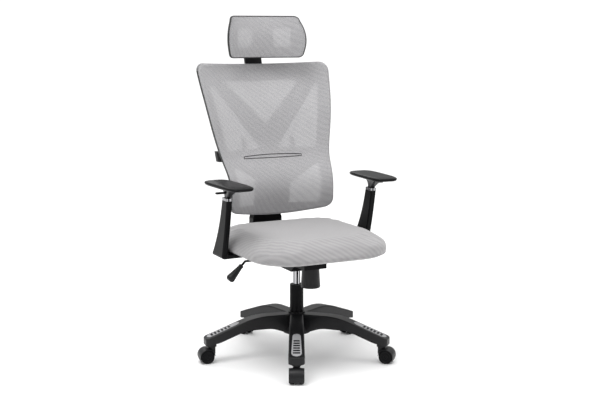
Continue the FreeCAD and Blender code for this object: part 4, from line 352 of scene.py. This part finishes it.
def moulded(name, colour, roughness, pit_scale=900.0, bump=0.25, wear=0.25,
            wear_colour=(0.10, 0.10, 0.105), painted_slot_shade_below=None, **sockets):
    """Moulded plastic or paint: grain, uneven gloss and worn edges.

    Faces that look up less than the given threshold are painted near black, as painted shade on the
    walls of slots.
    """
    material, tree, shader = new_material(name, roughness, **sockets)
    grain = place_group(tree, shared_group("Moulded Grain", grain_group),
                        Colour=(*colour, 1.0), Pit_Scale=pit_scale)
    worn = place_group(tree, shared_group("Edge Wear", edge_wear_group), Amount=wear)
    mixed = tree.nodes.new("ShaderNodeMix")
    mixed.data_type = "RGBA"
    tree.links.new(worn.outputs["Mask"], mixed.inputs[0])
    tree.links.new(grain.outputs["Colour"], mixed.inputs[6])
    mixed.inputs[7].default_value = (*wear_colour, 1.0)
    tree.links.new(mixed.outputs[2], shader.inputs["Base Color"])
    gloss = math_node(tree, "ADD", grain.outputs["Roughness Change"], roughness)
    tree.links.new(gloss, shader.inputs["Roughness"])
    add_bump(tree, shader, grain.outputs["Height"], bump, 0.0002, worn.outputs["Normal"])
    # painted shade: sideways-facing slot walls are painted near black in place of the shade in the
    # slots
    if painted_slot_shade_below is not None:
        facing = tree.nodes.new("ShaderNodeSeparateXYZ")
        tree.links.new(tree.nodes.new("ShaderNodeNewGeometry").outputs["Normal"],
                       facing.inputs["Vector"])
        shaded = tree.nodes.new("ShaderNodeMix")
        shaded.data_type = "RGBA"
        tree.links.new(math_node(tree, "LESS_THAN", facing.outputs["Z"], painted_slot_shade_below),
                       shaded.inputs[0])
        tree.links.new(mixed.outputs[2], shaded.inputs[6])
        shaded.inputs[7].default_value = (0.012, 0.012, 0.013, 1.0)
        tree.links.new(shaded.outputs[2], shader.inputs["Base Color"])
    return material


def polished(name, colour, roughness, streak_scale, with_painted_reflection=False):
    """Bare metal with fine streaks in its gloss.

    Metal with a painted reflection has dark bands painted into its colour on the sides where a
    bright plating would mirror a dark room.
    """
    material, tree, shader = new_material(name, roughness, metallic=1.0)
    position = tree.nodes.new("ShaderNodeTexCoord").outputs["Object"]
    stretch = tree.nodes.new("ShaderNodeMapping")
    stretch.inputs["Scale"].default_value = (1.0, 1.0, streak_scale)
    tree.links.new(position, stretch.inputs["Vector"])
    streaks = add_node(tree, "ShaderNodeTexNoise", Scale=40.0, Detail=4.0)
    tree.links.new(stretch.outputs["Vector"], streaks.inputs["Vector"])
    ramp = tree.nodes.new("ShaderNodeMapRange")
    ramp.inputs["To Min"].default_value = roughness * 0.7
    ramp.inputs["To Max"].default_value = roughness * 1.5
    tree.links.new(streaks.outputs["Fac"], ramp.inputs["Value"])
    tree.links.new(ramp.outputs["Result"], shader.inputs["Roughness"])
    tint = tree.nodes.new("ShaderNodeMix")
    tint.data_type = "RGBA"
    tint.inputs[6].default_value = (*colour, 1.0)
    tint.inputs[7].default_value = (*(part * 0.85 for part in colour), 1.0)
    tree.links.new(streaks.outputs["Fac"], tint.inputs[0])
    tree.links.new(tint.outputs[2], shader.inputs["Base Color"])
    # painted reflection: dark bands painted over the metal's own colour
    if with_painted_reflection:
        sides = place_group(tree, shared_group("Painted Reflection Bands", painted_reflection_group),
                            Colour=(*colour, 1.0))
        tree.links.new(tint.outputs[2], sides.inputs["Colour"])
        tree.links.new(sides.outputs["Colour"], shader.inputs["Base Color"])
    return material


def woven(name, colour, pitch, wave_strength, roughness, bump, openness=None):
    """Woven cover; with an openness, its gaps let the background through."""
    material, tree, shader = new_material(name, roughness, Sheen_Weight=0.25,
                                          Sheen_Roughness=0.5)
    weave = place_group(tree, shared_group("Diagonal Weave", weave_group),
                        Colour=(*colour, 1.0), Pitch=pitch, Wave_Strength=wave_strength)
    tree.links.new(weave.outputs["Colour"], shader.inputs["Base Color"])
    add_bump(tree, shader, weave.outputs["Height"], bump, 0.0006)
    if openness is not None:
        gap, solid = openness
        cover = tree.nodes.new("ShaderNodeMapRange")
        cover.inputs["From Min"].default_value = 0.45
        cover.inputs["From Max"].default_value = 0.85
        cover.inputs["To Min"].default_value = gap
        cover.inputs["To Max"].default_value = solid
        tree.links.new(weave.outputs["Thread"], cover.inputs["Value"])
        tree.links.new(cover.outputs["Result"], shader.inputs["Alpha"])
    return material


def finish(kind):
    """Make, or find, one of the chair's finishes.

    The carried-over pieces bring plain materials with some of the same names.
    """
    name = f"chair_{kind}"
    made = bpy.data.materials.get(name)
    if made:
        return made
    fabric = bpy.context.scene.chair_fabric
    makers = {
        "black_nylon": lambda: moulded(name, (0.0095, 0.0095, 0.0105), 0.40,
                                       Specular_IOR_Level=0.25),
        "black_wheel": lambda: moulded(name, (0.005, 0.005, 0.0055), 0.36, wear=0.3,
                                       Specular_IOR_Level=0.10),
        "black_paint": lambda: moulded(name, (0.004, 0.004, 0.0045), 0.40, bump=0.15,
                                       pit_scale=1400.0, Specular_IOR_Level=0.08),
        "black_rib": lambda: moulded(name, (0.016, 0.016, 0.017), 0.6, wear=0.1),
        # the grey inserts carry painted shade on the walls of their slots
        "grey_insert": lambda: moulded(name, (0.33, 0.33, 0.34), 0.40,
                                       wear_colour=(0.55, 0.55, 0.56), painted_slot_shade_below=0.7),
        "grey_frame": lambda: moulded(name, (0.20, 0.20, 0.205), 0.5,
                                      wear_colour=(0.34, 0.34, 0.34)),
        "pad_skin": lambda: moulded(name, (0.005, 0.005, 0.0055), 0.34, pit_scale=420.0,
                                    bump=0.5, wear=0.05, Specular_IOR_Level=0.10),
        # the chrome's colour carries painted reflection bands
        "chrome": lambda: polished(name, (0.66, 0.66, 0.68), 0.10, 0.15, with_painted_reflection=True),
        "steel": lambda: polished(name, (0.45, 0.45, 0.46), 0.32, 6.0),
        "net": lambda: woven(name, fabric.net_colour, fabric.net_pitch, 0.09, 0.75, 0.35,
                             openness=(0.42, 0.93)),
        "seat_cover": lambda: woven(name, fabric.seat_colour, fabric.seat_pitch, 0.16,
                                    0.85, 0.6),
    }
    return makers[kind]()


# ---------------------------------------------------------------- mesh helpers

def new_object(name, points, faces, material, body, smooth=True):
    """Make a mesh piece that rides on a body."""
    mesh = bpy.data.meshes.new(name)
    mesh.from_pydata(points, [], faces)
    mesh.validate()
    tidy = bmesh.new()
    tidy.from_mesh(mesh)
    bmesh.ops.recalc_face_normals(tidy, faces=tidy.faces)
    tidy.to_mesh(mesh)
    tidy.free()
    for polygon in mesh.polygons:
        polygon.use_smooth = smooth
    piece = bpy.data.objects.new(name, mesh)
    bpy.context.scene.collection.objects.link(piece)
    mesh.materials.append(finish(material))
    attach(piece, body)
    return piece


def node_tree(node):
    """A search tree over a frame node's faces."""
    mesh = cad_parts[node].data
    return BVHTree.FromPolygons([vertex.co for vertex in mesh.vertices],
                                [tuple(face.vertices) for face in mesh.polygons])


def mesh_tree(piece):
    mesh = piece.data
    return BVHTree.FromPolygons([vertex.co for vertex in mesh.vertices],
                                [tuple(face.vertices) for face in mesh.polygons])


def front_point(tree, x, z):
    """Where a tree is first met from the front at a place of the front view."""
    hit = tree.ray_cast(Vector((x, -2.0, z)), -FORWARD)
    return hit[0]


def front_outline(tree, centre, count, reach):
    """Front-view outline round a centre, as (x, z) pairs at even distances."""
    rough = []
    for index in range(4 * count):
        angle = 2 * math.pi * index / (4 * count)
        direction = Vector((math.cos(angle), math.sin(angle)))
        inside, outside = 0.0, reach
        for _ in range(16):
            middle = (inside + outside) / 2
            place = centre + direction * middle
            if front_point(tree, place.x, place.y):
                inside = middle
            else:
                outside = middle
        rough.append(centre + direction * inside)
    return even_loop(rough, count)


def even_loop(points, count):
    """Space a closed loop's points evenly along its length."""
    lengths = [0.0]
    for start, end in zip(points, points[1:] + points[:1]):
        lengths.append(lengths[-1] + (end - start).length)
    spaced = []
    segment = 0
    for index in range(count):
        target = lengths[-1] * index / count
        while lengths[segment + 1] < target:
            segment += 1
        span = lengths[segment + 1] - lengths[segment]
        share = (target - lengths[segment]) / span if span else 0.0
        spaced.append(points[segment].lerp(points[(segment + 1) % len(points)], share))
    return spaced


def smooth_loop(points, passes):
    """Even out a closed loop."""
    for _ in range(passes):
        points = [(points[index - 1] + points[index] * 2
                   + points[(index + 1) % len(points)]) / 4
                  for index in range(len(points))]
    return points


def ring_faces(start, other, count, flip=False):
    """Quads between two rings of points."""
    faces = []
    for index in range(count):
        after = (index + 1) % count
        quad = (start + index, start + after, other + after, other + index)
        faces.append(tuple(reversed(quad)) if flip else quad)
    return faces


def loft(rings, bottom=True, top=True):
    """Points and faces of stacked rings, closed by a fan at each end."""
    count = len(rings[0])
    points = [point for ring in rings for point in ring]
    faces = []
    for level in range(len(rings) - 1):
        faces += ring_faces(level * count, (level + 1) * count, count)
    for wanted, level in ((bottom, 0), (top, len(rings) - 1)):
        if wanted:
            centre = sum((Vector(point) for point in rings[level]), Vector()) / count
            points.append(centre)
            hub = len(points) - 1
            faces += [(level * count + index, level * count + (index + 1) % count, hub)
                      for index in range(count)]
    return points, faces


def sweep(path, outline, closed=True):
    """Sweep a section round a path; outline gives the section at each path point."""
    rings = [outline(index) for index in range(len(path))]
    size = len(rings[0])
    points = [point for ring in rings for point in ring]
    faces = []
    last = len(rings) if closed else len(rings) - 1
    for index in range(last):
        after = (index + 1) % len(rings)
        faces += ring_faces(index * size, after * size, size)
    if not closed:
        faces.append(tuple(range(size)))
        faces.append(tuple(reversed(range(len(points) - size, len(points)))))
    return points, faces


def tube(path, radius, closed=True, sides=8):
    """A round cord along a path."""
    def outline(index):
        before = path[index - 1] if closed or index else path[index]
        after = path[(index + 1) % len(path)] if closed or index < len(path) - 1 \
            else path[index]
        tangent = (after - before).normalized()
        across = tangent.cross(FORWARD)
        across = across.normalized() if across.length > 1e-6 else Vector((1, 0, 0))
        up = tangent.cross(across).normalized()
        return [path[index] + radius * (math.cos(turn) * across + math.sin(turn) * up)
                for turn in (2 * math.pi * side / sides for side in range(sides))]
    return sweep(path, outline, closed)


# ---------------------------------------------------------------- nets

NET_RINGS = 26
OUTLINE_POINTS = 300


def net_piece(name, node, body, centre, thickness):
    """A stretched net that follows a frame node's front face, with a rolled hem."""
    tree = node_tree(node)
    reach = (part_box(node)[1][2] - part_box(node)[0][2]) * 1.5
    outline = smooth_loop(front_outline(tree, centre, OUTLINE_POINTS, reach), 2)
    hem = 0.010
    front = []
    for ring in range(1, NET_RINGS + 1):
        share = (ring / NET_RINGS) ** 0.9
        loop = []
        for edge in outline:
            place = centre.lerp(edge, share)
            safe = centre.lerp(edge, min(share, 0.990))
            hit = front_point(tree, safe.x, safe.y)
            rim = (edge - place).length
            lift = 0.0004 if rim < hem else 0.0
            loop.append(Vector((place.x, hit.y - lift, place.y)))
        front.append(loop)
    back = [[point + Vector((0.0, thickness, 0.0)) for point in loop] for loop in front]
    points, faces = loft(front + list(reversed(back)))
    return new_object(name, points, faces, "net", body), front[-1], tree


def edge_band(name, loop, body, material, proud, front_depth, rear_depth, keep=None):
    """A strip round the outer edge of a loop that covers the frame's edge."""
    count = len(loop)

    def outward(index):
        before, after = loop[index - 1], loop[(index + 1) % count]
        tangent = Vector((after.x - before.x, 0.0, after.z - before.z)).normalized()
        return Vector((tangent.z, 0.0, -tangent.x))

    middle = sum(loop, Vector()) / count
    chosen = [index for index in range(count) if keep is None or keep(loop[index])]
    if keep is not None:
        breaks = [place for place in range(len(chosen))
                  if chosen[place] - chosen[place - 1] != 1]
        if breaks:
            chosen = chosen[breaks[-1]:] + chosen[:breaks[-1]]

    def outline(place):
        index = chosen[place]
        point = loop[index]
        direction = outward(index)
        if direction.dot(point - middle) < 0:
            direction = -direction
        inner = -0.0015
        corners = ((inner, front_depth), (proud * 0.6, front_depth),
                   (proud, front_depth + 0.0012), (proud, rear_depth - 0.0012),
                   (proud * 0.6, rear_depth), (inner, rear_depth))
        return [point + direction * aside + Vector((0.0, depth, 0.0))
                for aside, depth in corners]

    points, faces = sweep([loop[index] for index in chosen], outline, keep is None)
    return new_object(name, points, faces, material, body)


class CHAIR_OT_back_net(bpy.types.Operator):
    """Stretch the net over the back frame, with its side trims and lumbar seam"""

    bl_idname = "chair.back_net"
    bl_label = "Back Net"

    def execute(self, context):
        fabric = context.scene.chair_fabric
        trims = context.scene.chair_trims
        low, high = BACK_BOX
        centre = Vector((0.0, (low[2] + high[2]) / 2))
        net, edge, tree = net_piece("back_net", "back_mesh", "seat", centre,
                                    fabric.net_thickness)
        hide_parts("back_mesh")
        for side, name in ((-1, "back_trim_right"), (1, "back_trim_left")):
            def along_side(point, side=side):
                wide = point.x * side > 0.135
                return wide and low[2] + 0.012 < point.z < high[2] - 0.012
            band = edge_band(name, edge, "seat", "black_rib", 0.0008,
                             fabric.net_thickness * 0.5, 0.0165, keep=along_side)
        seam = self.lumbar_seam(trims, tree)
        return {"FINISHED"}

    @staticmethod
    def lumbar_seam(trims, tree):
        """The dark lens-shaped cord sewn on the net in front of the lumbar support."""
        height = LUMBAR_BOX[0][2] + 0.010
        steps = 40
        path = []
        for side in (1, -1):
            for step in range(steps):
                share = side * (1 - 2 * step / (steps - 1))
                x = trims.seam_half_length * share
                bulge = trims.seam_half_height * (1 - 0.45 * abs(share) ** 2)
                z = height + side * bulge
                path.append(front_point(tree, x, z) + FORWARD * trims.seam_radius * 0.5)
        seam = new_object("lumbar_seam", *tube(path, trims.seam_radius), "black_rib", "seat")
        return seam


class CHAIR_OT_headrest_net(bpy.types.Operator):
    """Stretch the net over the headrest frame, with its piping and dark edge"""

    bl_idname = "chair.headrest_net"
    bl_label = "Headrest Net"

    def execute(self, context):
        fabric = context.scene.chair_fabric
        trims = context.scene.chair_trims
        low, high = HEAD_BOX
        centre = Vector((0.0, (low[2] + high[2]) / 2))
        net, edge, tree = net_piece("headrest_net", "headrest_mesh", "headrest", centre,
                                    fabric.net_thickness)
        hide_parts("headrest_mesh")
        band = edge_band("headrest_edge", edge, "headrest", "black_rib", 0.0010,
                         fabric.net_thickness, 0.0130)
        cord = [point + FORWARD * trims.piping_radius * 0.2 for point in edge]
        piping = new_object("headrest_piping", *tube(cord, trims.piping_radius),
                            "black_rib", "headrest")
        return {"FINISHED"}


# ---------------------------------------------------------------- seat

def smooth_vertices(mesh, passes, factor):
    work = bmesh.new()
    work.from_mesh(mesh)
    for _ in range(passes):
        bmesh.ops.smooth_vert(work, verts=work.verts, factor=factor,
                              use_axis_x=True, use_axis_y=True, use_axis_z=True)
    work.to_mesh(mesh)
    work.free()


def apply_modifiers(piece):
    """Bake a piece's modifiers into its mesh."""
    depsgraph = bpy.context.evaluated_depsgraph_get()
    baked = bpy.data.meshes.new_from_object(piece.evaluated_get(depsgraph))
    old = piece.data
    piece.modifiers.clear()
    piece.data = baked
    bpy.data.meshes.remove(old)


def inflate(piece, held, pressure, cap, frames):
    """Swell a piece as cloth; held vertices stay, and no point moves more than cap."""
    scene = bpy.context.scene
    start = [vertex.co.copy() for vertex in piece.data.vertices]
    pinned = piece.vertex_groups.new(name="held")
    pinned.add(held, 1.0, "REPLACE")
    cloth = piece.modifiers.new("swell", "CLOTH")
    cloth.settings.use_pressure = True
    cloth.settings.uniform_pressure_force = pressure
    cloth.settings.vertex_group_mass = "held"
    cloth.settings.effector_weights.gravity = 0.0
    cloth.settings.quality = 5
    cloth.settings.tension_stiffness = 30.0
    cloth.settings.compression_stiffness = 30.0
    cloth.settings.bending_stiffness = 2.0
    cloth.point_cache.frame_start = 1
    cloth.point_cache.frame_end = frames
    for number in range(1, frames + 1):
        scene.frame_set(number)
    apply_modifiers(piece)
    scene.frame_set(1)
    piece.vertex_groups.clear()
    for vertex, origin in zip(piece.data.vertices, start):
        move = vertex.co - origin
        if move.length > cap:
            vertex.co = origin + move.normalized() * cap


class CHAIR_OT_seat_cushion(bpy.types.Operator):
    """Upholster the seat cushion and sew its welt"""

    bl_idname = "chair.seat_cushion"
    bl_label = "Seat Cushion"

    def execute(self, context):
        padding = context.scene.chair_padding
        trims = context.scene.chair_trims
        low, high = SEAT_BOX
        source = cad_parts["seat_cushion"].data.copy()
        cushion = bpy.data.objects.new("seat_upholstery", source)
        context.scene.collection.objects.link(cushion)
        grid = cushion.modifiers.new("grid", "REMESH")
        grid.mode = "VOXEL"
        grid.voxel_size = padding.cushion_voxel
        apply_modifiers(cushion)
        smooth_vertices(cushion.data, 6, 0.5)
        floor = PAN_BOX[1][2] + 0.002
        held = [vertex.index for vertex in cushion.data.vertices
                if vertex.co.z < floor + 0.004]
        inflate(cushion, held, 3.0, padding.cushion_swell, 18)
        self.dish_top(cushion, low, high)
        smooth_vertices(cushion.data, 3, 0.5)
        subdivide = cushion.modifiers.new("smooth", "SUBSURF")
        subdivide.levels = 1
        subdivide.render_levels = 1
        apply_modifiers(cushion)
        cushion.data.materials.clear()
        cushion.data.materials.append(finish("seat_cover"))
        for polygon in cushion.data.polygons:
            polygon.use_smooth = True
            polygon.material_index = 0
        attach(cushion, "seat")
        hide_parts("seat_cushion")
        self.welt(cushion, trims.welt_radius, low, high)
        return {"FINISHED"}

    @staticmethod
    def dish_top(cushion, low, high):
        """Sink the sitting area a little between raised sides."""
        middle_y = (low[1] + high[1]) / 2 + 0.04
        half_width = (high[0] - low[0]) / 2
        half_length = (high[1] - low[1]) / 2
        for vertex in cushion.data.vertices:
            across = vertex.co.x / (half_width * 0.75)
            along = (vertex.co.y - middle_y) / (half_length * 0.75)
            away = across * across + along * along
            height = max(0.0, (vertex.co.z - (high[2] - 0.02)) / 0.02)
            if away < 1.0:
                vertex.co.z -= 0.006 * (1 - away) ** 2 * min(height, 1.0)

    @staticmethod
    def welt(cushion, radius, low, high):
        """A fabric cord along the seam between the cover and the underside."""
        tree = mesh_tree(cushion)
        height = low[2] + 0.012
        middle = Vector((0.0, (low[1] + high[1]) / 2, height))
        rough = []
        for index in range(480):
            angle = 2 * math.pi * index / 480
            direction = Vector((math.cos(angle), math.sin(angle), 0.0))
            hit = tree.ray_cast(middle + direction * 0.6, -direction)[0]
            rough.append(hit)
        path = smooth_loop(even_loop(rough, 320), 3)

        def outline(index):
            before, after = path[index - 1], path[(index + 1) % len(path)]
            tangent = (after - before).normalized()
            aside = Vector((tangent.y, -tangent.x, 0.0)).normalized()
            return [path[index] + radius * (math.cos(turn) * aside
                                            + Vector((0, 0, math.sin(turn))))
                    for turn in (2 * math.pi * side / 8 for side in range(8))]

        welt = new_object("seat_welt", *sweep(path, outline), "seat_cover", "seat")


# ---------------------------------------------------------------- arm pads

class CHAIR_OT_arm_pads(bpy.types.Operator):
    """Mould the two soft arm pads"""

    bl_idname = "chair.arm_pads"
    bl_label = "Arm Pads"

    def execute(self, context):
        padding = context.scene.chair_padding
        for side, toe_in in (("left", -padding.pad_toe_in), ("right", padding.pad_toe_in)):
            self.pad(side, Matrix.Rotation(toe_in, 3, "Z"), padding.pad_crown)
        return {"FINISHED"}

    @staticmethod
    def pad(side, turn, crown):
        low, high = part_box(f"{side}_arm_pad")
        centre = (Vector(low) + Vector(high)) / 2
        unturned = [turn.transposed() @ (vertex.co - centre)
                    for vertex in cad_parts[f"{side}_arm_pad"].data.vertices]
        half_width = max(abs(point.x) for point in unturned)
        half_length = max(abs(point.y) for point in unturned)
        bottom, top = low[2], high[2]
        count = 96

        def ring(inset, z, droop=0.0):
            loop = []
            for index in range(count):
                angle = 2 * math.pi * (index + 0.5) / count
                cosine, sine = math.cos(angle), math.sin(angle)
                x = math.copysign(abs(cosine) ** 0.50, cosine) * (half_width - inset)
                y = math.copysign(abs(sine) ** 0.42, sine) * (half_length - inset)
                fall = droop * (y / half_length) ** 4
                point = centre + turn @ Vector((x, y, 0.0))
                loop.append(Vector((point.x, point.y, z - fall)))
            return loop

        shoulder = top - crown
        rings = [ring(0.022, bottom + 0.0003), ring(0.007, bottom + 0.0006),
                 ring(0.0025, bottom + 0.002), ring(0.0, bottom + 0.006),
                 ring(0.0, shoulder - 0.005), ring(0.0015, shoulder - 0.002, 0.001),
                 ring(0.0045, shoulder, 0.0015), ring(0.009, shoulder + crown * 0.35, 0.002),
                 ring(0.016, shoulder + crown * 0.7, 0.002),
                 ring(0.026, shoulder + crown * 0.93, 0.0015), ring(0.036, top, 0.001)]
        points, faces = loft(rings)
        pad = new_object(f"{side}_arm_cushion", points, faces, "pad_skin", f"{side}_arm")
        smooth = pad.modifiers.new("smooth", "SUBSURF")
        smooth.levels = 2
        smooth.render_levels = 2
        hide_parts(f"{side}_arm_pad")


# ---------------------------------------------------------------- finishes

NODE_FINISHES = {
    "black_nylon": ["star_base", "lift_guide_bush", "tension_knob", "lever_bush",
                    "lever_grip", "lumbar_support", "headrest_post", "seat_pan",
                    "left_arm_post", "right_arm_post", "left_arm_release_lever",
                    "right_arm_release_lever"],
    "black_paint": ["lift_outer_tube", "mechanism_housing", "tilt_plate", "lever_rod",
                    "back_bracket", "left_arm_bracket", "right_arm_bracket"],
    "grey_insert": ["tread_inserts"],
    "grey_frame": ["back_frame", "headrest_frame"],
    "chrome": ["lift_inner_column", "arm_collars"],
    "steel": ["caster_stems", "lift_piston_rod", "lift_thrust_bearing",
              "lift_retaining_clip", "lift_release_button", "tilt_axle", "tension_bolt",
              "tension_nut", "tension_spring", "frame_bolts", "headrest_pin"],
}
CASTER_FINISHES = {"housing": "black_nylon", "axle": "steel",
                   "wheel_left": "black_wheel", "wheel_right": "black_wheel"}


class CHAIR_OT_finishes(bpy.types.Operator):
    """Give every hard part its paint, plastic or metal"""

    bl_idname = "chair.finishes"
    bl_label = "Finishes"

    def execute(self, context):
        for name, nodes in NODE_FINISHES.items():
            for node in nodes:
                self.paint(node, name)
        for index in range(1, 6):
            for part, name in CASTER_FINISHES.items():
                self.paint(f"caster_{index}_{part}", name)
        return {"FINISHED"}

    @staticmethod
    def paint(node, name):
        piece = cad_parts[node]
        if not piece.material_slots:
            raise RuntimeError(f"{node} has no material slot")
        for slot in piece.material_slots:
            slot.material = finish(name)


# ---------------------------------------------------------------- studio

def area_light(name, place, target, size, power):
    light = bpy.data.lights.new(name, "AREA")
    light.shape = "DISK"
    light.size = size
    light.energy = power
    lamp = bpy.data.objects.new(name, light)
    lamp.location = place
    lamp.rotation_euler = (Vector(target) - Vector(place)).to_track_quat("-Z", "Y").to_euler()
    bpy.context.scene.collection.objects.link(lamp)


class CHAIR_OT_studio(bpy.types.Operator):
    """Set up the pale floor, the soft lights and the camera"""

    bl_idname = "chair.studio"
    bl_label = "Studio"

    def execute(self, context):
        studio = context.scene.chair_studio
        material, tree, shader = new_material("backdrop", 0.9)
        shader.inputs["Base Color"].default_value = (*studio.backdrop_colour, 1.0)
        size = 14.0
        mesh = bpy.data.meshes.new("studio_floor")
        mesh.from_pydata([(-size, -size, 0), (size, -size, 0), (size, size, 0),
                          (-size, size, 0)], [], [(0, 1, 2, 3)])
        mesh.materials.append(material)
        floor = bpy.data.objects.new("studio_floor", mesh)
        context.scene.collection.objects.link(floor)

        self.sky(context.scene)
        context.scene.view_settings.view_transform = "Standard"
        area_light("key", (-1.1, -0.5, 3.2), (0, 0, 0.6), 1.6, 40)
        area_light("fill", (1.6, -1.4, 2.8), (0, 0, 0.6), 2.0, 12)
        area_light("rim", (0.6, 2.8, 2.6), (0, 0, 0.8), 1.6, 14)

        data = bpy.data.cameras.new("camera")
        data.lens = studio.camera_lens
        data.sensor_width = 36.0
        data.shift_x = 0.0056
        camera = bpy.data.objects.new("camera", data)
        azimuth = studio.camera_azimuth
        camera.location = (math.sin(azimuth) * studio.camera_distance,
                           -math.cos(azimuth) * studio.camera_distance,
                           studio.camera_height)
        camera.rotation_euler = (math.pi / 2 - studio.camera_pitch, 0.0, azimuth)
        context.scene.collection.objects.link(camera)
        context.scene.camera = camera
        return {"FINISHED"}

    @staticmethod
    def sky(scene):
        """A soft overhead light, with a plain white wall behind the chair."""
        world = bpy.data.worlds.new("studio_light")
        world.use_nodes = True
        tree = world.node_tree
        light = tree.nodes["Background"]
        direction = tree.nodes.new("ShaderNodeTexCoord").outputs["Generated"]
        axes = tree.nodes.new("ShaderNodeSeparateXYZ")
        tree.links.new(direction, axes.inputs["Vector"])
        height = tree.nodes.new("ShaderNodeMapRange")
        height.inputs["To Min"].default_value = 0.15
        height.inputs["To Max"].default_value = 1.75
        tree.links.new(axes.outputs["Z"], height.inputs["Value"])
        tree.links.new(height.outputs["Result"], light.inputs["Strength"])
        light.inputs["Color"].default_value = (1.0, 1.0, 1.0, 1.0)
        wall = tree.nodes.new("ShaderNodeBackground")
        wall.inputs["Color"].default_value = (1.0, 1.0, 1.0, 1.0)
        wall.inputs["Strength"].default_value = 1.1
        mix = tree.nodes.new("ShaderNodeMixShader")
        tree.links.new(tree.nodes.new("ShaderNodeLightPath").outputs["Is Camera Ray"],
                       mix.inputs["Fac"])
        tree.links.new(light.outputs["Background"], mix.inputs[1])
        tree.links.new(wall.outputs["Background"], mix.inputs[2])
        tree.links.new(mix.outputs["Shader"], tree.nodes["World Output"].inputs["Surface"])
        scene.world = world


# ---------------------------------------------------------------- panel

class CHAIR_PT_dressing(bpy.types.Panel):
    """Sidebar panel with the chair's settings and operators"""

    bl_idname = "CHAIR_PT_dressing"
    bl_label = "Mesh Chair"
    bl_space_type = "VIEW_3D"
    bl_region_type = "UI"
    bl_category = "Mesh Chair"

    def draw(self, context):
        layout = self.layout
        scene = context.scene
        for settings, operators in (
                (scene.chair_fabric, (CHAIR_OT_back_net, CHAIR_OT_headrest_net)),
                (scene.chair_padding, (CHAIR_OT_seat_cushion, CHAIR_OT_arm_pads)),
                (scene.chair_trims, (CHAIR_OT_finishes,)),
                (scene.chair_studio, (CHAIR_OT_studio,))):
            box = layout.box()
            for name in settings.__annotations__:
                box.prop(settings, name)
            for operator in operators:
                box.operator(operator.bl_idname)


SETTINGS = {"chair_fabric": ChairFabricSettings, "chair_trims": ChairTrimSettings,
            "chair_padding": ChairPaddingSettings, "chair_studio": ChairStudioSettings}
CLASSES = (ChairFabricSettings, ChairTrimSettings, ChairPaddingSettings,
           ChairStudioSettings, CHAIR_OT_back_net, CHAIR_OT_headrest_net,
           CHAIR_OT_seat_cushion, CHAIR_OT_arm_pads, CHAIR_OT_finishes, CHAIR_OT_studio,
           CHAIR_PT_dressing)


def register():
    for item in CLASSES:
        bpy.utils.register_class(item)
    for name, settings in SETTINGS.items():
        setattr(bpy.types.Scene, name, bpy.props.PointerProperty(type=settings))


def unregister():
    for name in SETTINGS:
        delattr(bpy.types.Scene, name)
    for item in reversed(CLASSES):
        bpy.utils.unregister_class(item)


def main():
    register()
    bpy.ops.chair.finishes()
    bpy.ops.chair.back_net()
    bpy.ops.chair.headrest_net()
    bpy.ops.chair.seat_cushion()
    bpy.ops.chair.arm_pads()
    bpy.ops.chair.studio()


if __name__ == "__main__":
    main()
